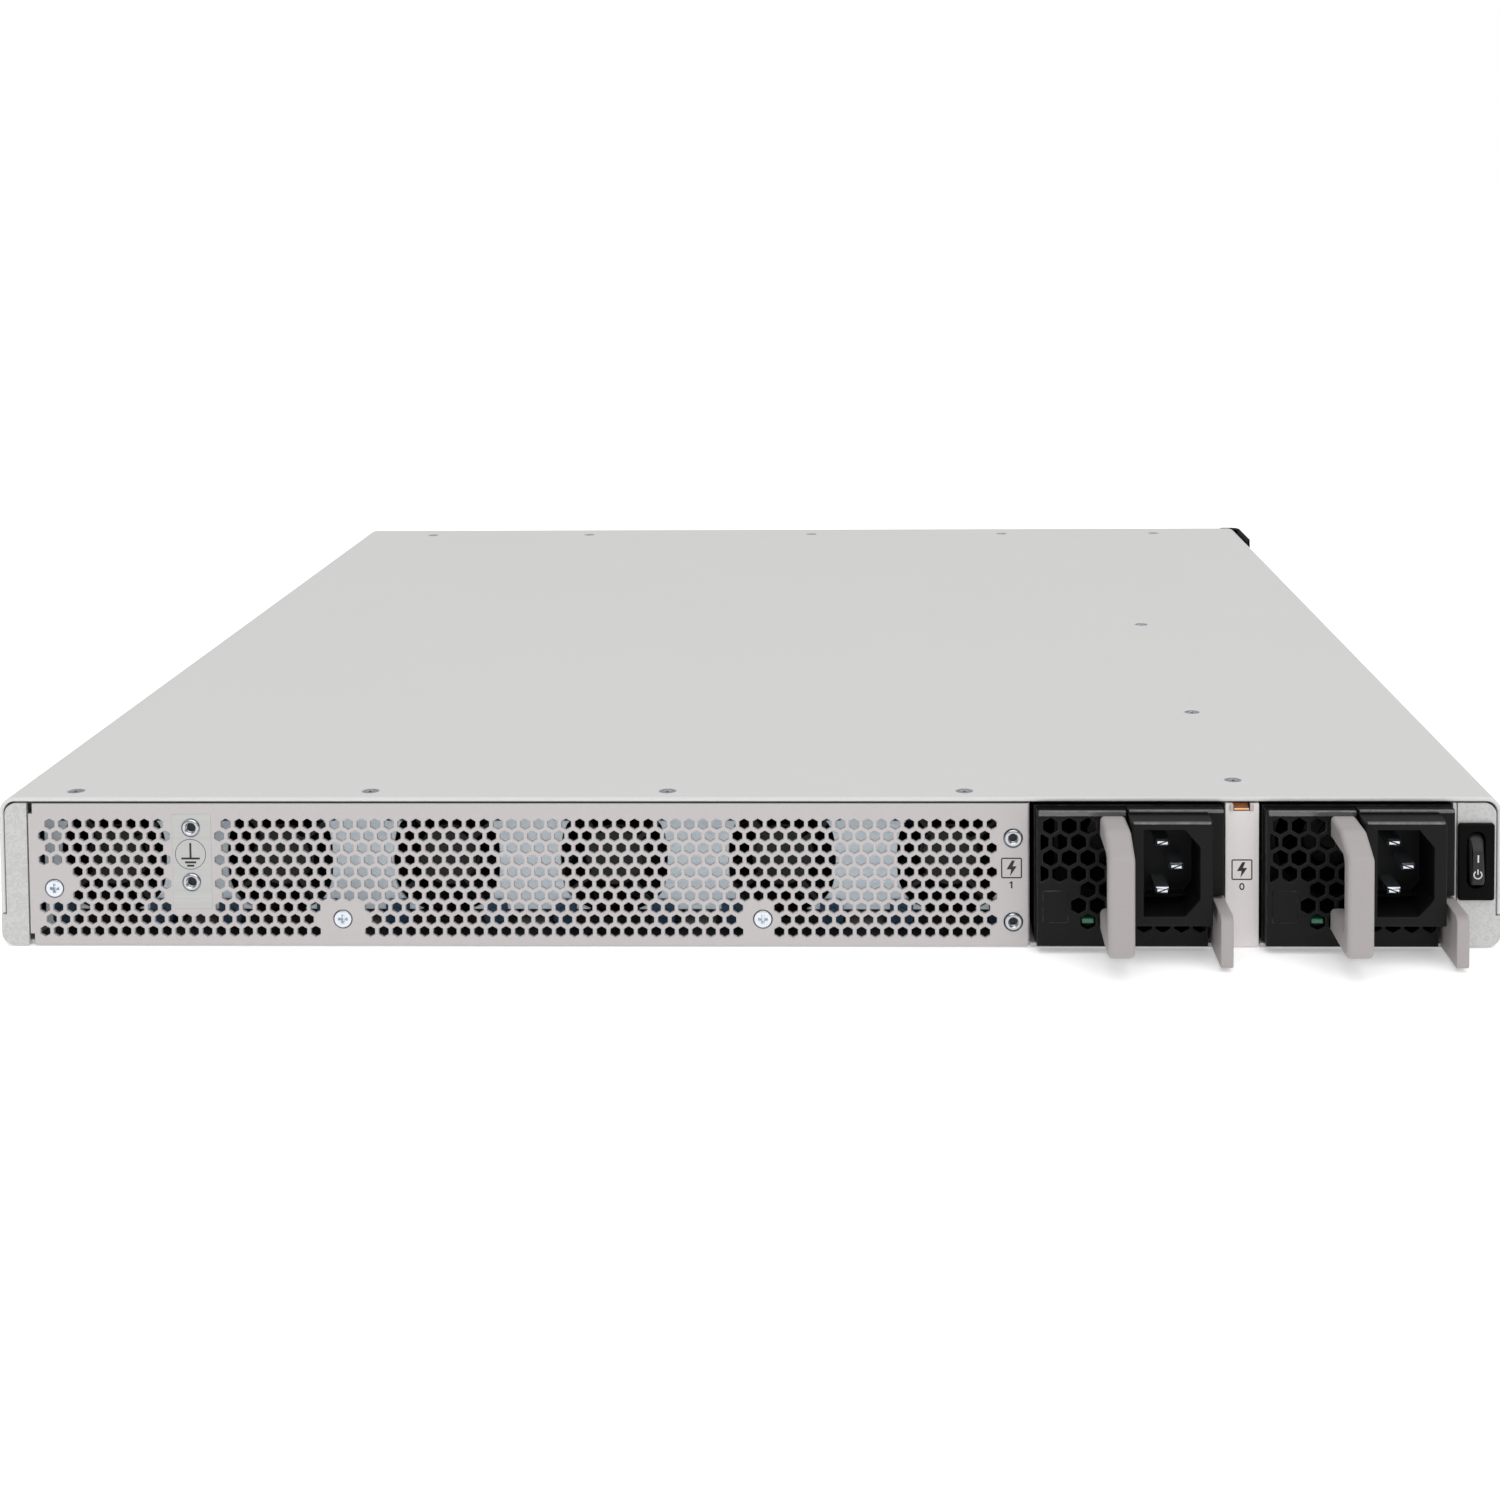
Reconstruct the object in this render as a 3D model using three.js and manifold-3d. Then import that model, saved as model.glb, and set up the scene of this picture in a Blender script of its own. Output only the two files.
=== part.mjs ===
// Rackmount network switch, 1U high, seen as its makers would split it on a bench: a folded
// steel case, a perforated rear panel with six fans behind it, two slide-out power supplies,
// a power rocker, the boards inside and a front panel with its port blocks.
//
// Units are millimetres. +Z is up and +X is to the right when the rear is faced. The rear
// faces -Y and the port side faces +Y. The origin is on the underside of the case, at its
// middle in width and length.

import * as THREE from "three";
import { mergeVertices } from "three/addons/utils/BufferGeometryUtils.js";
import Module from "manifold-3d";

const wasm = await Module();
wasm.setup();

// ------------------------------------------------------------------ driving dimensions

const WIDTH = 440; // outside of the cover's sides
const HEIGHT = 44.2; // underside to the top of the cover
const LENGTH = 462; // rear panel to front edge
const SHEET = 1.2; // case sheet metal
const GAP = 0.3; // least clearance between neighbours
const TOP_BEND = 4.5; // outside radius of the cover's bends
const BASE_BEND = 4; // outside radius of the base's bends
const CAP_START = 198; // where the corner cap begins, and the cover's side ends just before it
const SKIRT = 9.65; // height where the cover's sides end

const REAR = -LENGTH / 2;
const FRONT = LENGTH / 2;
const HALF = WIDTH / 2;
const WALL_TOP = HEIGHT - SHEET - 0.5; // top of everything under the cover
const INNER = HALF - SHEET - 0.4; // outside of the base's upper side walls

const FLANGE_LEFT = -211.9; // inner edge of the rear flange at the left
const FLANGE_RIGHT = 207.2; // inner edge of the rear flange at the right
const PANEL = { x: [-210.7, 82.8], z: [0.15, 42.4] }; // perforated rear panel
const POST = { x: [140.1, 149.8] }; // post between the power supplies
const BAY_LEFT = 83.4; // left side of the first power supply bay
const BAY_RIGHT = 205.9; // right side of the second one

const FAN = { size: 40, depth: 28, bore: 18.7, hub: 9.5, blade: 17.9, count: 6 };
const FAN_FIRST = -190.9; // centre of the leftmost fan
const FAN_PITCH = 50.3;
const FAN_Z = 21.8;
const BULKHEAD = 13; // fan bulkhead, measured forward from the rear panel

const PSU = {
  centres: [178.0, 111.75], // bay 0 and bay 1
  width: 54.5,
  z: [1.9, 41.9],
  depth: 223, // case behind the rear plane
  wall: 0.8,
  face: 4.9, // the face stands proud of the rear plane
  inletFace: 14.2,
  handleFace: 29.2,
  tabFace: 19.6,
};
const PSU_FAN = { size: 37.6, depth: 28, bore: 17.6, hub: 9, blade: 16.9 };

const BOARD_Z = [6, 7.6]; // main circuit board
const PANEL_SCREWS = [[-204.1, 17.0], [-118.7, 7.9], [5.1, 8.0]];
const GROUND_STUDS = [[-163.2, 35.2], [-163.2, 19.0]];
const PANEL_INSERTS = [[78.4, 32.1], [78.4, 7.3]];

// ------------------------------------------------------------------ materials

function finish(color, roughness, metalness) {
  return new THREE.MeshStandardMaterial({ color, roughness, metalness });
}

const FINISH = {
  coverPaint: finish(0xd6d6d6, 0.55, 0.1),
  panelPaint: finish(0xcac4c4, 0.5, 0.1),
  galvanised: finish(0xc4c4c4, 0.4, 0.8),
  zinc: finish(0xd9dde0, 0.25, 0.95),
  copper: finish(0xe1a06e, 0.3, 0.95),
  psuBlack: finish(0x242526, 0.45, 0.3),
  inletPlastic: finish(0x1b1c1d, 0.5, 0),
  handlePlastic: finish(0xa19c9b, 0.5, 0),
  blackPlastic: finish(0x17181a, 0.4, 0),
  fanPlastic: finish(0x1d1e20, 0.45, 0),
  board: finish(0x1f5a38, 0.5, 0),
  socketPlastic: finish(0x202224, 0.5, 0),
  aluminium: finish(0xb4b8bb, 0.35, 0.9),
  portShield: finish(0xbcc0c2, 0.3, 0.9),
};

// ------------------------------------------------------------------ solids

// A closed three.js geometry as a manifold solid that can be joined and cut.
function solid(geometry) {
  const source = geometry.index ? geometry.toNonIndexed() : geometry;
  const bare = new THREE.BufferGeometry();
  bare.setAttribute("position", source.getAttribute("position"));
  const merged = mergeVertices(bare, 1e-4);
  return new wasm.Manifold(
    new wasm.Mesh({
      numProp: 3,
      vertProperties: merged.getAttribute("position").array,
      triVerts: new Uint32Array(merged.index.array),
    }),
  );
}

// A finished solid as a named mesh.
function mesh(name, shape, material) {
  const data = shape.getMesh();
  const geometry = new THREE.BufferGeometry();
  geometry.setAttribute("position", new THREE.BufferAttribute(data.vertProperties, 3));
  geometry.setIndex(new THREE.BufferAttribute(data.triVerts, 1));
  geometry.computeVertexNormals();
  const made = new THREE.Mesh(geometry, material);
  made.name = name;
  return made;
}

// A box between two corners, given as its extent along each axis.
function box([x0, x1], [y0, y1], [z0, z1]) {
  const geometry = new THREE.BoxGeometry(x1 - x0, y1 - y0, z1 - z0);
  geometry.translate((x0 + x1) / 2, (y0 + y1) / 2, (z0 + z1) / 2);
  return solid(geometry);
}

// An outline in X and Z, drawn out from y0 to y1.
function alongY(shape, y0, y1, curveSegments = 6) {
  const options = { depth: y1 - y0, bevelEnabled: false, curveSegments };
  const geometry = new THREE.ExtrudeGeometry(shape, options);
  geometry.rotateX(Math.PI / 2);
  geometry.translate(0, y1, 0);
  return solid(geometry);
}

// An outline in Y and Z, drawn out from x0 to x1.
function alongX(shape, x0, x1, curveSegments = 6) {
  const options = { depth: x1 - x0, bevelEnabled: false, curveSegments };
  const geometry = new THREE.ExtrudeGeometry(shape, options);
  geometry.rotateX(Math.PI / 2);
  geometry.rotateZ(Math.PI / 2);
  geometry.translate(x0, 0, 0);
  return solid(geometry);
}

// An outline in X and Y, drawn up from z0 to z1.
function alongZ(shape, z0, z1, curveSegments = 6) {
  const options = { depth: z1 - z0, bevelEnabled: false, curveSegments };
  const geometry = new THREE.ExtrudeGeometry(shape, options);
  geometry.translate(0, 0, z0);
  return solid(geometry);
}

// A round bar along Y, centred on x and z.
function rodY(x, z, radius, y0, y1, sides = 24) {
  const geometry = new THREE.CylinderGeometry(radius, radius, y1 - y0, sides);
  geometry.translate(x, (y0 + y1) / 2, z);
  return solid(geometry);
}

// An outline through a list of corners.
function polygon(corners) {
  return new THREE.Shape(corners.map(([u, v]) => new THREE.Vector2(u, v)));
}

// A rectangle with its four corners rounded.
function roundedRect(u0, u1, v0, v1, radius) {
  const shape = new THREE.Shape();
  shape.moveTo(u0 + radius, v0);
  shape.lineTo(u1 - radius, v0);
  shape.absarc(u1 - radius, v0 + radius, radius, -Math.PI / 2, 0);
  shape.lineTo(u1, v1 - radius);
  shape.absarc(u1 - radius, v1 - radius, radius, 0, Math.PI / 2);
  shape.lineTo(u0 + radius, v1);
  shape.absarc(u0 + radius, v1 - radius, radius, Math.PI / 2, Math.PI);
  shape.lineTo(u0, v0 + radius);
  shape.absarc(u0 + radius, v0 + radius, radius, Math.PI, 1.5 * Math.PI);
  return shape;
}

// A rounded square whose sides bulge, as the mouth of a fan opening does.
function superellipse(x, z, half, power, steps) {
  const corners = [];
  for (let i = 0; i < steps; i += 1) {
    const angle = (2 * Math.PI * i) / steps;
    const c = Math.cos(angle);
    const s = Math.sin(angle);
    corners.push([
      x + half * Math.sign(c) * Math.abs(c) ** (2 / power),
      z + half * Math.sign(s) * Math.abs(s) ** (2 / power),
    ]);
  }
  return polygon(corners);
}

// ------------------------------------------------------------------ folded case

// The cover is one sheet: a flat top with a rounded bend down each side. Its +X side stops
// short of the corner cap.
function topCover() {
  const shape = new THREE.Shape();
  const inner = TOP_BEND - SHEET;
  shape.moveTo(-HALF, SKIRT);
  shape.lineTo(-HALF + SHEET, SKIRT);
  shape.lineTo(-HALF + SHEET, HEIGHT - TOP_BEND);
  shape.absarc(-HALF + TOP_BEND, HEIGHT - TOP_BEND, inner, Math.PI, Math.PI / 2, true);
  shape.lineTo(HALF - TOP_BEND, HEIGHT - SHEET);
  shape.absarc(HALF - TOP_BEND, HEIGHT - TOP_BEND, inner, Math.PI / 2, 0, true);
  shape.lineTo(HALF - SHEET, SKIRT);
  shape.lineTo(HALF, SKIRT);
  shape.lineTo(HALF, HEIGHT - TOP_BEND);
  shape.absarc(HALF - TOP_BEND, HEIGHT - TOP_BEND, TOP_BEND, 0, Math.PI / 2);
  shape.lineTo(-HALF + TOP_BEND, HEIGHT);
  shape.absarc(-HALF + TOP_BEND, HEIGHT - TOP_BEND, TOP_BEND, Math.PI / 2, Math.PI);
  const capNotch = box([HALF - 3, HALF + 1], [CAP_START - 0.6, FRONT + 1], [0, HEIGHT - TOP_BEND]);
  const cover = alongY(shape, REAR, FRONT).subtract(capNotch);
  return mesh("top_cover", cover, FINISH.coverPaint);
}

// Outline of the base seen from the rear, closed across the top: the sides step in where
// the cover's skirt laps over them.
function baseOutline(inset) {
  const shape = new THREE.Shape();
  const low = HALF - inset;
  const high = INNER - inset;
  const step = SKIRT - GAP - inset;
  const bend = BASE_BEND - inset;
  const top = TOP_BEND - SHEET - inset;
  shape.moveTo(-HALF + BASE_BEND, inset);
  shape.lineTo(HALF - BASE_BEND, inset);
  shape.absarc(HALF - BASE_BEND, BASE_BEND, bend, -Math.PI / 2, 0);
  shape.lineTo(low, step);
  shape.lineTo(high, step);
  shape.lineTo(high, WALL_TOP - top);
  shape.absarc(high - top, WALL_TOP - top, top, 0, Math.PI / 2);
  shape.lineTo(-high + top, WALL_TOP);
  shape.absarc(-high + top, WALL_TOP - top, top, Math.PI / 2, Math.PI);
  shape.lineTo(-high, step);
  shape.lineTo(-low, step);
  shape.absarc(-HALF + BASE_BEND, BASE_BEND, bend, Math.PI, 1.5 * Math.PI);
  return shape;
}

// The base is a tray: floor, two joggled sides and a folded flange at each rear corner.
function basePan() {
  const outer = alongY(baseOutline(0), REAR, FRONT);
  const overTop = box([-INNER + SHEET, INNER - SHEET], [REAR - 1, FRONT + 1], [20, 50]);
  const hollow = alongY(baseOutline(SHEET), REAR - 1, FRONT + 1).add(overTop);
  let tray = outer.subtract(hollow);

  const frontWindow = box([-HALF, HALF], [FRONT - SHEET - GAP, FRONT + 1], [SHEET, 50]);
  tray = tray.subtract(frontWindow);

  const behindPanel = [REAR - 1, REAR + SHEET + GAP];
  for (const [x0, x1] of [[FLANGE_LEFT, BAY_LEFT], [POST.x[0] - GAP, POST.x[1] + GAP]]) {
    tray = tray.subtract(box([x0, x1], behindPanel, [-1, SHEET + GAP]));
  }

  const rearSheet = [REAR, REAR + SHEET];
  const endPlate = alongY(baseOutline(0), ...rearSheet);
  const leftFlange = endPlate.intersect(box([-HALF, FLANGE_LEFT], rearSheet, [0, 50]));
  const rightFlange = endPlate
    .intersect(box([FLANGE_RIGHT, HALF], rearSheet, [0, 50]))
    .subtract(box([207.9, 216.9], [REAR - 1, REAR + 2], [15, 36]));
  tray = tray.add(leftFlange).add(rightFlange);

  for (const [x, y] of [[-195, -170], [65, -170], [-195, 30], [65, 30], [-195, 205], [195, 205]]) {
    const boss = new THREE.CylinderGeometry(3, 3, BOARD_Z[0] - GAP - SHEET / 2, 12);
    boss.rotateX(Math.PI / 2);
    boss.translate(x, y, (BOARD_Z[0] - GAP + SHEET / 2) / 2);
    tray = tray.add(solid(boss));
  }
  return mesh("base_pan", tray, FINISH.galvanised);
}

// The rear panel is a flat plate. Its perforation is a surface detail of the finished part.
function rearPanel() {
  let plate = box(PANEL.x, [REAR, REAR + SHEET], PANEL.z);
  for (const [x, z] of [...PANEL_SCREWS, ...GROUND_STUDS, ...PANEL_INSERTS]) {
    plate = plate.subtract(rodY(x, z, 3, REAR - 1, REAR + 2));
  }
  return mesh("rear_panel", plate, FINISH.panelPaint);
}

// The post between the power supplies is a channel that runs forward between the two bays.
function bayDivider() {
  const [x0, x1] = POST.x;
  const z = [SHEET + GAP, WALL_TOP];
  const length = [REAR + SHEET, REAR + PSU.depth + 8];
  const face = box([x0, x1], [REAR, REAR + SHEET], [PANEL.z[0], PANEL.z[1]]);
  const springNotch = box([142.2, 147.3], [REAR - 1, REAR + 3], [40.2, 43]);
  const leftWeb = box([x0, x0 + 1], length, z);
  const rightWeb = box([x1 - 1, x1], length, z);
  const tie = box([x0, x1], [length[1] - 1, length[1]], z);
  const shape = face.subtract(springNotch).add(leftWeb).add(rightWeb).add(tie);
  return mesh("bay_divider", shape, FINISH.panelPaint);
}

// A plain wall beside a bay, with a narrow foot turned away from the power supply.
function bayWall(name, [x0, x1], footTo, yStart) {
  const length = [yStart, REAR + PSU.depth + 8];
  const web = box([x0, x1], length, [SHEET + GAP, WALL_TOP]);
  const footX = [Math.min(x0, footTo), Math.max(x1, footTo)];
  const foot = box(footX, [REAR + 48, length[1]], [SHEET + GAP, SHEET + GAP + 1]);
  return mesh(name, web.add(foot), FINISH.galvanised);
}

function bayWalls() {
  const walls = new THREE.Group();
  walls.add(bayWall("bay_wall_left", [82.2, 83.2], 79, REAR + SHEET + GAP));
  walls.add(bayWall("bay_wall_right", [BAY_RIGHT, BAY_RIGHT + 1], 210, REAR));
  return walls;
}

// A copper finger on top of the post earths the cover.
function emiSpring() {
  const arch = polygon([
    [REAR, 40.6],
    [REAR + 1.2, 40.6],
    [REAR + 2.6, 41.5],
    [REAR + 5, 41.5],
    [REAR + 5, 41.9],
    [REAR + 2.4, 41.9],
    [REAR + 1.0, 41.1],
    [REAR, 41.1],
  ]);
  return mesh("emi_spring", alongX(arch, 142.6, 146.9), FINISH.copper);
}

// A black plastic cap guards the front corner at +X.
function cornerCap() {
  const outer = HALF + 2.2;
  const shape = polygon([
    [213, FRONT + GAP],
    [HALF + GAP, FRONT + GAP],
    [HALF + GAP, CAP_START],
    [HALF + 1.1, CAP_START],
    [outer, CAP_START + 5],
    [outer, FRONT + 2.5],
    [outer - 3.5, FRONT + 6],
    [213, FRONT + 6],
  ]);
  return mesh("corner_cap", alongZ(shape, 1.5, HEIGHT - 0.6), FINISH.blackPlastic);
}

// ------------------------------------------------------------------ rear fittings

function panelScrew(name, x, z) {
  const head = rodY(x, z, 2.6, REAR + 0.1, REAR + 1.3, 16);
  const shank = rodY(x, z, 1.5, REAR + 1.2, REAR + 7, 12);
  return mesh(name, head.add(shank), FINISH.zinc);
}

// A round threaded bush pressed into the rear panel, with an open hole down its middle.
function threadedBush(name, x, z, proud, bore) {
  const body = rodY(x, z, 2.7, REAR - proud, REAR + 4, 20);
  return mesh(name, body.subtract(rodY(x, z, bore, REAR - 2, REAR + 5, 12)), FINISH.zinc);
}

function rearFittings() {
  const fittings = new THREE.Group();
  PANEL_SCREWS.forEach(([x, z], i) => fittings.add(panelScrew(`panel_screw_${i}`, x, z)));
  GROUND_STUDS.forEach(([x, z], i) => fittings.add(threadedBush(`ground_bush_${i}`, x, z, 0.6, 1.6)));
  PANEL_INSERTS.forEach(([x, z], i) => fittings.add(threadedBush(`panel_insert_${i}`, x, z, 0.4, 1.3)));
  return fittings;
}

// ------------------------------------------------------------------ fans

// The rotor: a hub with blades twisted across the air stream, along Y from the origin.
function rotor(name, { hub, blade, depth }) {
  let shape = rodY(0, 0, hub, 2.5, depth - 4, 20);
  const blades = 7;
  const span = blade - hub + 1;
  for (let i = 0; i < blades; i += 1) {
    const vane = new THREE.BoxGeometry(span, 1.2, 12);
    vane.rotateX(0.9);
    vane.translate(hub - 1 + span / 2, depth / 2 - 2, 0);
    vane.rotateY((2 * Math.PI * i) / blades);
    shape = shape.add(solid(vane));
  }
  return mesh(name, shape.intersect(rodY(0, 0, blade, 1, depth - 3.5, 32)), FINISH.fanPlastic);
}

// The frame: a square duct with a motor seat on four struts at its far end.
function fanFrame(name, { size, depth, bore, hub }) {
  const half = size / 2;
  const block = box([-half, half], [0, depth], [-half, half]);
  let shape = block.subtract(rodY(0, 0, bore, -1, depth + 1, 32));
  const struts = [depth - 3, depth];
  shape = shape.add(box([-bore - 0.5, bore + 0.5], struts, [-1, 1]));
  shape = shape.add(box([-1, 1], struts, [-bore - 0.5, bore + 0.5]));
  shape = shape.add(rodY(0, 0, hub, ...struts, 20));
  return mesh(name, shape, FINISH.fanPlastic);
}

function caseFans() {
  const fans = new THREE.Group();
  for (let i = 0; i < FAN.count; i += 1) {
    const fan = new THREE.Group();
    fan.position.set(FAN_FIRST + i * FAN_PITCH, REAR + BULKHEAD + SHEET + GAP, FAN_Z);
    fan.add(fanFrame(`fan${i}_frame`, FAN));
    fan.add(rotor(`fan${i}_rotor`, FAN));
    fans.add(fan);
  }
  return fans;
}

// The bulkhead carries the fans and has a rounded opening in front of each.
function fanBulkhead() {
  const y = [REAR + BULKHEAD, REAR + BULKHEAD + SHEET];
  const sheet = [-211.8, 81.6];
  const legWidth = 4;
  let shape = box(sheet, y, [6.5, WALL_TOP]);
  shape = shape.add(box([sheet[0], sheet[0] + legWidth], y, [SHEET + GAP, 8]));
  shape = shape.add(box([sheet[1] - legWidth, sheet[1]], y, [SHEET + GAP, 8]));
  for (let i = 0; i < FAN.count; i += 1) {
    const mouth = superellipse(FAN_FIRST + i * FAN_PITCH, FAN_Z, 16.1, 2.7, 32);
    shape = shape.subtract(alongY(mouth, y[0] - 1, y[1] + 1));
  }
  return mesh("fan_bulkhead", shape, FINISH.galvanised);
}

// ------------------------------------------------------------------ power rocker

const ROCKER = { x: [209.8, 214.9], z: [17.9, 34.4], depth: 7, reach: 7.9 };
const ROCKER_PIVOT = { y: REAR + 1.2, z: 26.15 };

function switchHousing() {
  const slot = roundedRect(...ROCKER.x, ...ROCKER.z, 1.2);
  const bezel = alongY(roundedRect(207.2, 217.7, 14.2, 36.8, 0.8), REAR - 1.4, REAR - GAP);
  const body = box([208.2, 216.6], [REAR - 0.5, REAR + 15], [15.4, 35.6]);
  const recess = alongY(slot, REAR - 2, REAR + ROCKER.depth);
  return mesh("switch_housing", bezel.add(body).subtract(recess), FINISH.blackPlastic);
}

// The rocker has two faces that meet in a shallow V. Its upper half is pressed in, and its
// ends are rounded about the pivot so that it can tip inside its slot.
function powerRocker() {
  const { y, z } = ROCKER_PIVOT;
  const end = 8.2;
  const side = new THREE.Shape();
  side.moveTo(y + 3.2, z + 3);
  side.lineTo(y + 3.2, z - 3);
  side.lineTo(y, z - end);
  side.lineTo(y - 4.2, z - end);
  side.quadraticCurveTo(y - 3, z - 3.5, y - 2.6, z);
  side.quadraticCurveTo(y - 1.8, z + 4, y + 0.2, z + end);
  const [x0, x1] = ROCKER.x;
  const [z0, z1] = ROCKER.z;
  const plan = roundedRect(x0 + GAP, x1 - GAP, z0 + GAP, z1 - GAP, 2.2);
  const sweep = new THREE.CylinderGeometry(ROCKER.reach, ROCKER.reach, x1 - x0, 48);
  sweep.rotateZ(Math.PI / 2);
  sweep.translate((x0 + x1) / 2, y, z);
  const shape = alongX(side, x0, x1)
    .intersect(alongY(plan, y - 6, y + 6))
    .intersect(solid(sweep));
  return mesh("power_rocker", shape, FINISH.blackPlastic);
}

// ------------------------------------------------------------------ power supplies

// Each power supply is built about its bay's centre: x = 0 there, y = 0 at the rear plane.
const LATCH = { x: [24.0, 27.6], z: [1.6, 15.9], pivot: 22, slot: [23.0, 28] };
const LATCH_SLOT_TOP = 16.5;
const SUPPLY_HALF = PSU.width / 2;
const INLET = { x: [-0.55, 22.6], z: [11.1, 41.9], cavityX: [3.0, 18.9], cavityZ: [13.9, 38.9] };

function supplyCase(name) {
  const [z0, z1] = PSU.z;
  const t = PSU.wall;
  const y = [GAP, PSU.depth];
  const inner = [-SUPPLY_HALF + t, SUPPLY_HALF - t];
  let shape = box([-SUPPLY_HALF, SUPPLY_HALF], y, PSU.z);
  shape = shape.subtract(box(inner, [-1, PSU.depth - t], [z0 + t, z1 - t]));
  const end = [PSU.depth - 2, PSU.depth + 1];
  shape = shape.subtract(box([-19.5, 19.5], end, [7.5, 12.5]));
  shape = shape.subtract(box([-23, -2], end, [17, 38]));
  shape = shape.subtract(box([2, 23], end, [17, 38]));
  shape = shape.subtract(box(LATCH.slot, [-1, LATCH.pivot + 4], [0, LATCH_SLOT_TOP]));
  return mesh(name, shape, FINISH.psuBlack);
}

// The face covers the air side and runs under the inlet. Its honeycomb is surface detail.
function supplyFace(name) {
  const y = [-PSU.face, 0];
  const air = box([-SUPPLY_HALF + 0.4, INLET.x[0] - GAP], y, PSU.z);
  const sill = box([INLET.x[0] - 2, LATCH.slot[0] - GAP], y, [PSU.z[0], INLET.z[0] - GAP]);
  const hollow = box([-SUPPLY_HALF + 2, INLET.x[0] - 2], [-PSU.face + 1.5, 1], [4, 40]);
  return mesh(name, air.add(sill).subtract(hollow), FINISH.psuBlack);
}

// Mains inlet turned on its side: a keyed cavity with three flat blades standing in it.
function supplyInlet(name) {
  const [x0, x1] = INLET.x;
  const [z0, z1] = INLET.z;
  const front = -PSU.inletFace;
  const block = box([x0, x1], [front, 0], [z0, z1]);
  const flange = box([x0, SUPPLY_HALF], [-PSU.face, 0], [LATCH_SLOT_TOP + GAP, z1]);
  const back = box([x0 + 1, x1 - 0.6], [-1, 26], [z0 + 1, z1 - 1.5]);
  const [cx0, cx1] = INLET.cavityX;
  const [cz0, cz1] = INLET.cavityZ;
  const cavity = polygon([
    [cx0, cz0],
    [cx1 - 4.2, cz0],
    [cx1, cz0 + 5],
    [cx1, cz1 - 5],
    [cx1 - 4.2, cz1],
    [cx0, cz1],
  ]);
  const floorY = front + 17;
  let shape = block.add(flange).add(back).subtract(alongY(cavity, front - 1, floorY));
  for (const [x, z] of [[8.95, 33.6], [8.95, 19.6], [12.95, 26.6]]) {
    shape = shape.add(box([x - 2, x + 2], [front + 5.5, floorY + 1], [z - 1, z + 1]));
  }
  return mesh(name, shape, FINISH.inletPlastic);
}

// The handle is a bow in the vertical plane, with both feet on the face.
function supplyHandle(name) {
  const foot = -PSU.face - GAP;
  const grip = -PSU.handleFace;
  const shape = polygon([
    [foot, 6.9],
    [foot, 13.2],
    [grip + 10, 13.2],
    [grip + 5.6, 15.6],
    [grip + 5.6, 31.6],
    [grip + 10, 34],
    [foot, 34],
    [foot, 40.4],
    [grip + 11, 40.4],
    [grip, 35.4],
    [grip, 8.4],
    [grip + 1.5, 6.9],
  ]);
  return mesh(name, alongX(shape, -8.75, -1.15), FINISH.handlePlastic);
}

// The release lever turns about an upright pin at its inner end.
function supplyLatch(name) {
  const [x0, x1] = LATCH.x;
  const tip = -PSU.tabFace;
  const plan = new THREE.Shape();
  plan.moveTo(x0, tip + 0.8);
  plan.quadraticCurveTo(x0, tip, x0 + 0.8, tip);
  plan.lineTo(x1 - 0.8, tip);
  plan.quadraticCurveTo(x1, tip, x1, tip + 0.8);
  plan.lineTo(x1, LATCH.pivot);
  plan.absarc((x0 + x1) / 2, LATCH.pivot, (x1 - x0) / 2, 0, Math.PI);
  return mesh(name, alongZ(plan, ...LATCH.z), FINISH.handlePlastic);
}

// The board ends in a tongue of edge contacts that reaches through the case's inner end.
function supplyBoard(name) {
  const z = [9.2, 10.8];
  const sheet = box([-24, 24], [66, PSU.depth - 6], z);
  return mesh(name, sheet.add(box([-18, 18], [PSU.depth - 8, PSU.depth + 9], z)), FINISH.board);
}

function powerSupply(index) {
  const supply = new THREE.Group();
  const prefix = `psu${index}`;
  supply.position.set(PSU.centres[index], REAR, 0);
  supply.add(supplyCase(`${prefix}_case`));
  supply.add(supplyFace(`${prefix}_face`));
  supply.add(supplyInlet(`${prefix}_inlet`));
  supply.add(supplyHandle(`${prefix}_handle`));
  supply.add(supplyLatch(`${prefix}_latch`));
  supply.add(supplyBoard(`${prefix}_board`));
  const fan = new THREE.Group();
  fan.position.set(0, 32, (PSU.z[0] + PSU.z[1]) / 2);
  fan.add(fanFrame(`${prefix}_fan_frame`, PSU_FAN));
  fan.add(rotor(`${prefix}_fan_rotor`, PSU_FAN));
  supply.add(fan);
  return supply;
}

// ------------------------------------------------------------------ boards and heatsinks

function mainBoard() {
  const frontEdge = FRONT - 24;
  const shape = polygon([
    [-205, REAR + 50],
    [78, REAR + 50],
    [78, REAR + PSU.depth + 22],
    [210, REAR + PSU.depth + 22],
    [210, frontEdge],
    [-205, frontEdge],
  ]);
  return mesh("main_board", alongZ(shape, ...BOARD_Z), FINISH.board);
}

function midplane() {
  const plane = new THREE.Group();
  const y = REAR + PSU.depth + 16;
  const card = box([BAY_LEFT, BAY_RIGHT], [y, y + 1.6], [BOARD_Z[1] + GAP, 40]);
  plane.add(mesh("midplane_board", card, FINISH.board));
  PSU.centres.forEach((x, i) => {
    const body = box([x - 22, x + 22], [REAR + PSU.depth + 1, y - GAP], [5.5, 14.5]);
    const slot = box([x - 18.6, x + 18.6], [REAR + PSU.depth, REAR + PSU.depth + 10], [8.7, 11.3]);
    plane.add(mesh(`psu${i}_socket`, body.subtract(slot), FINISH.socketPlastic));
  });
  return plane;
}

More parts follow.
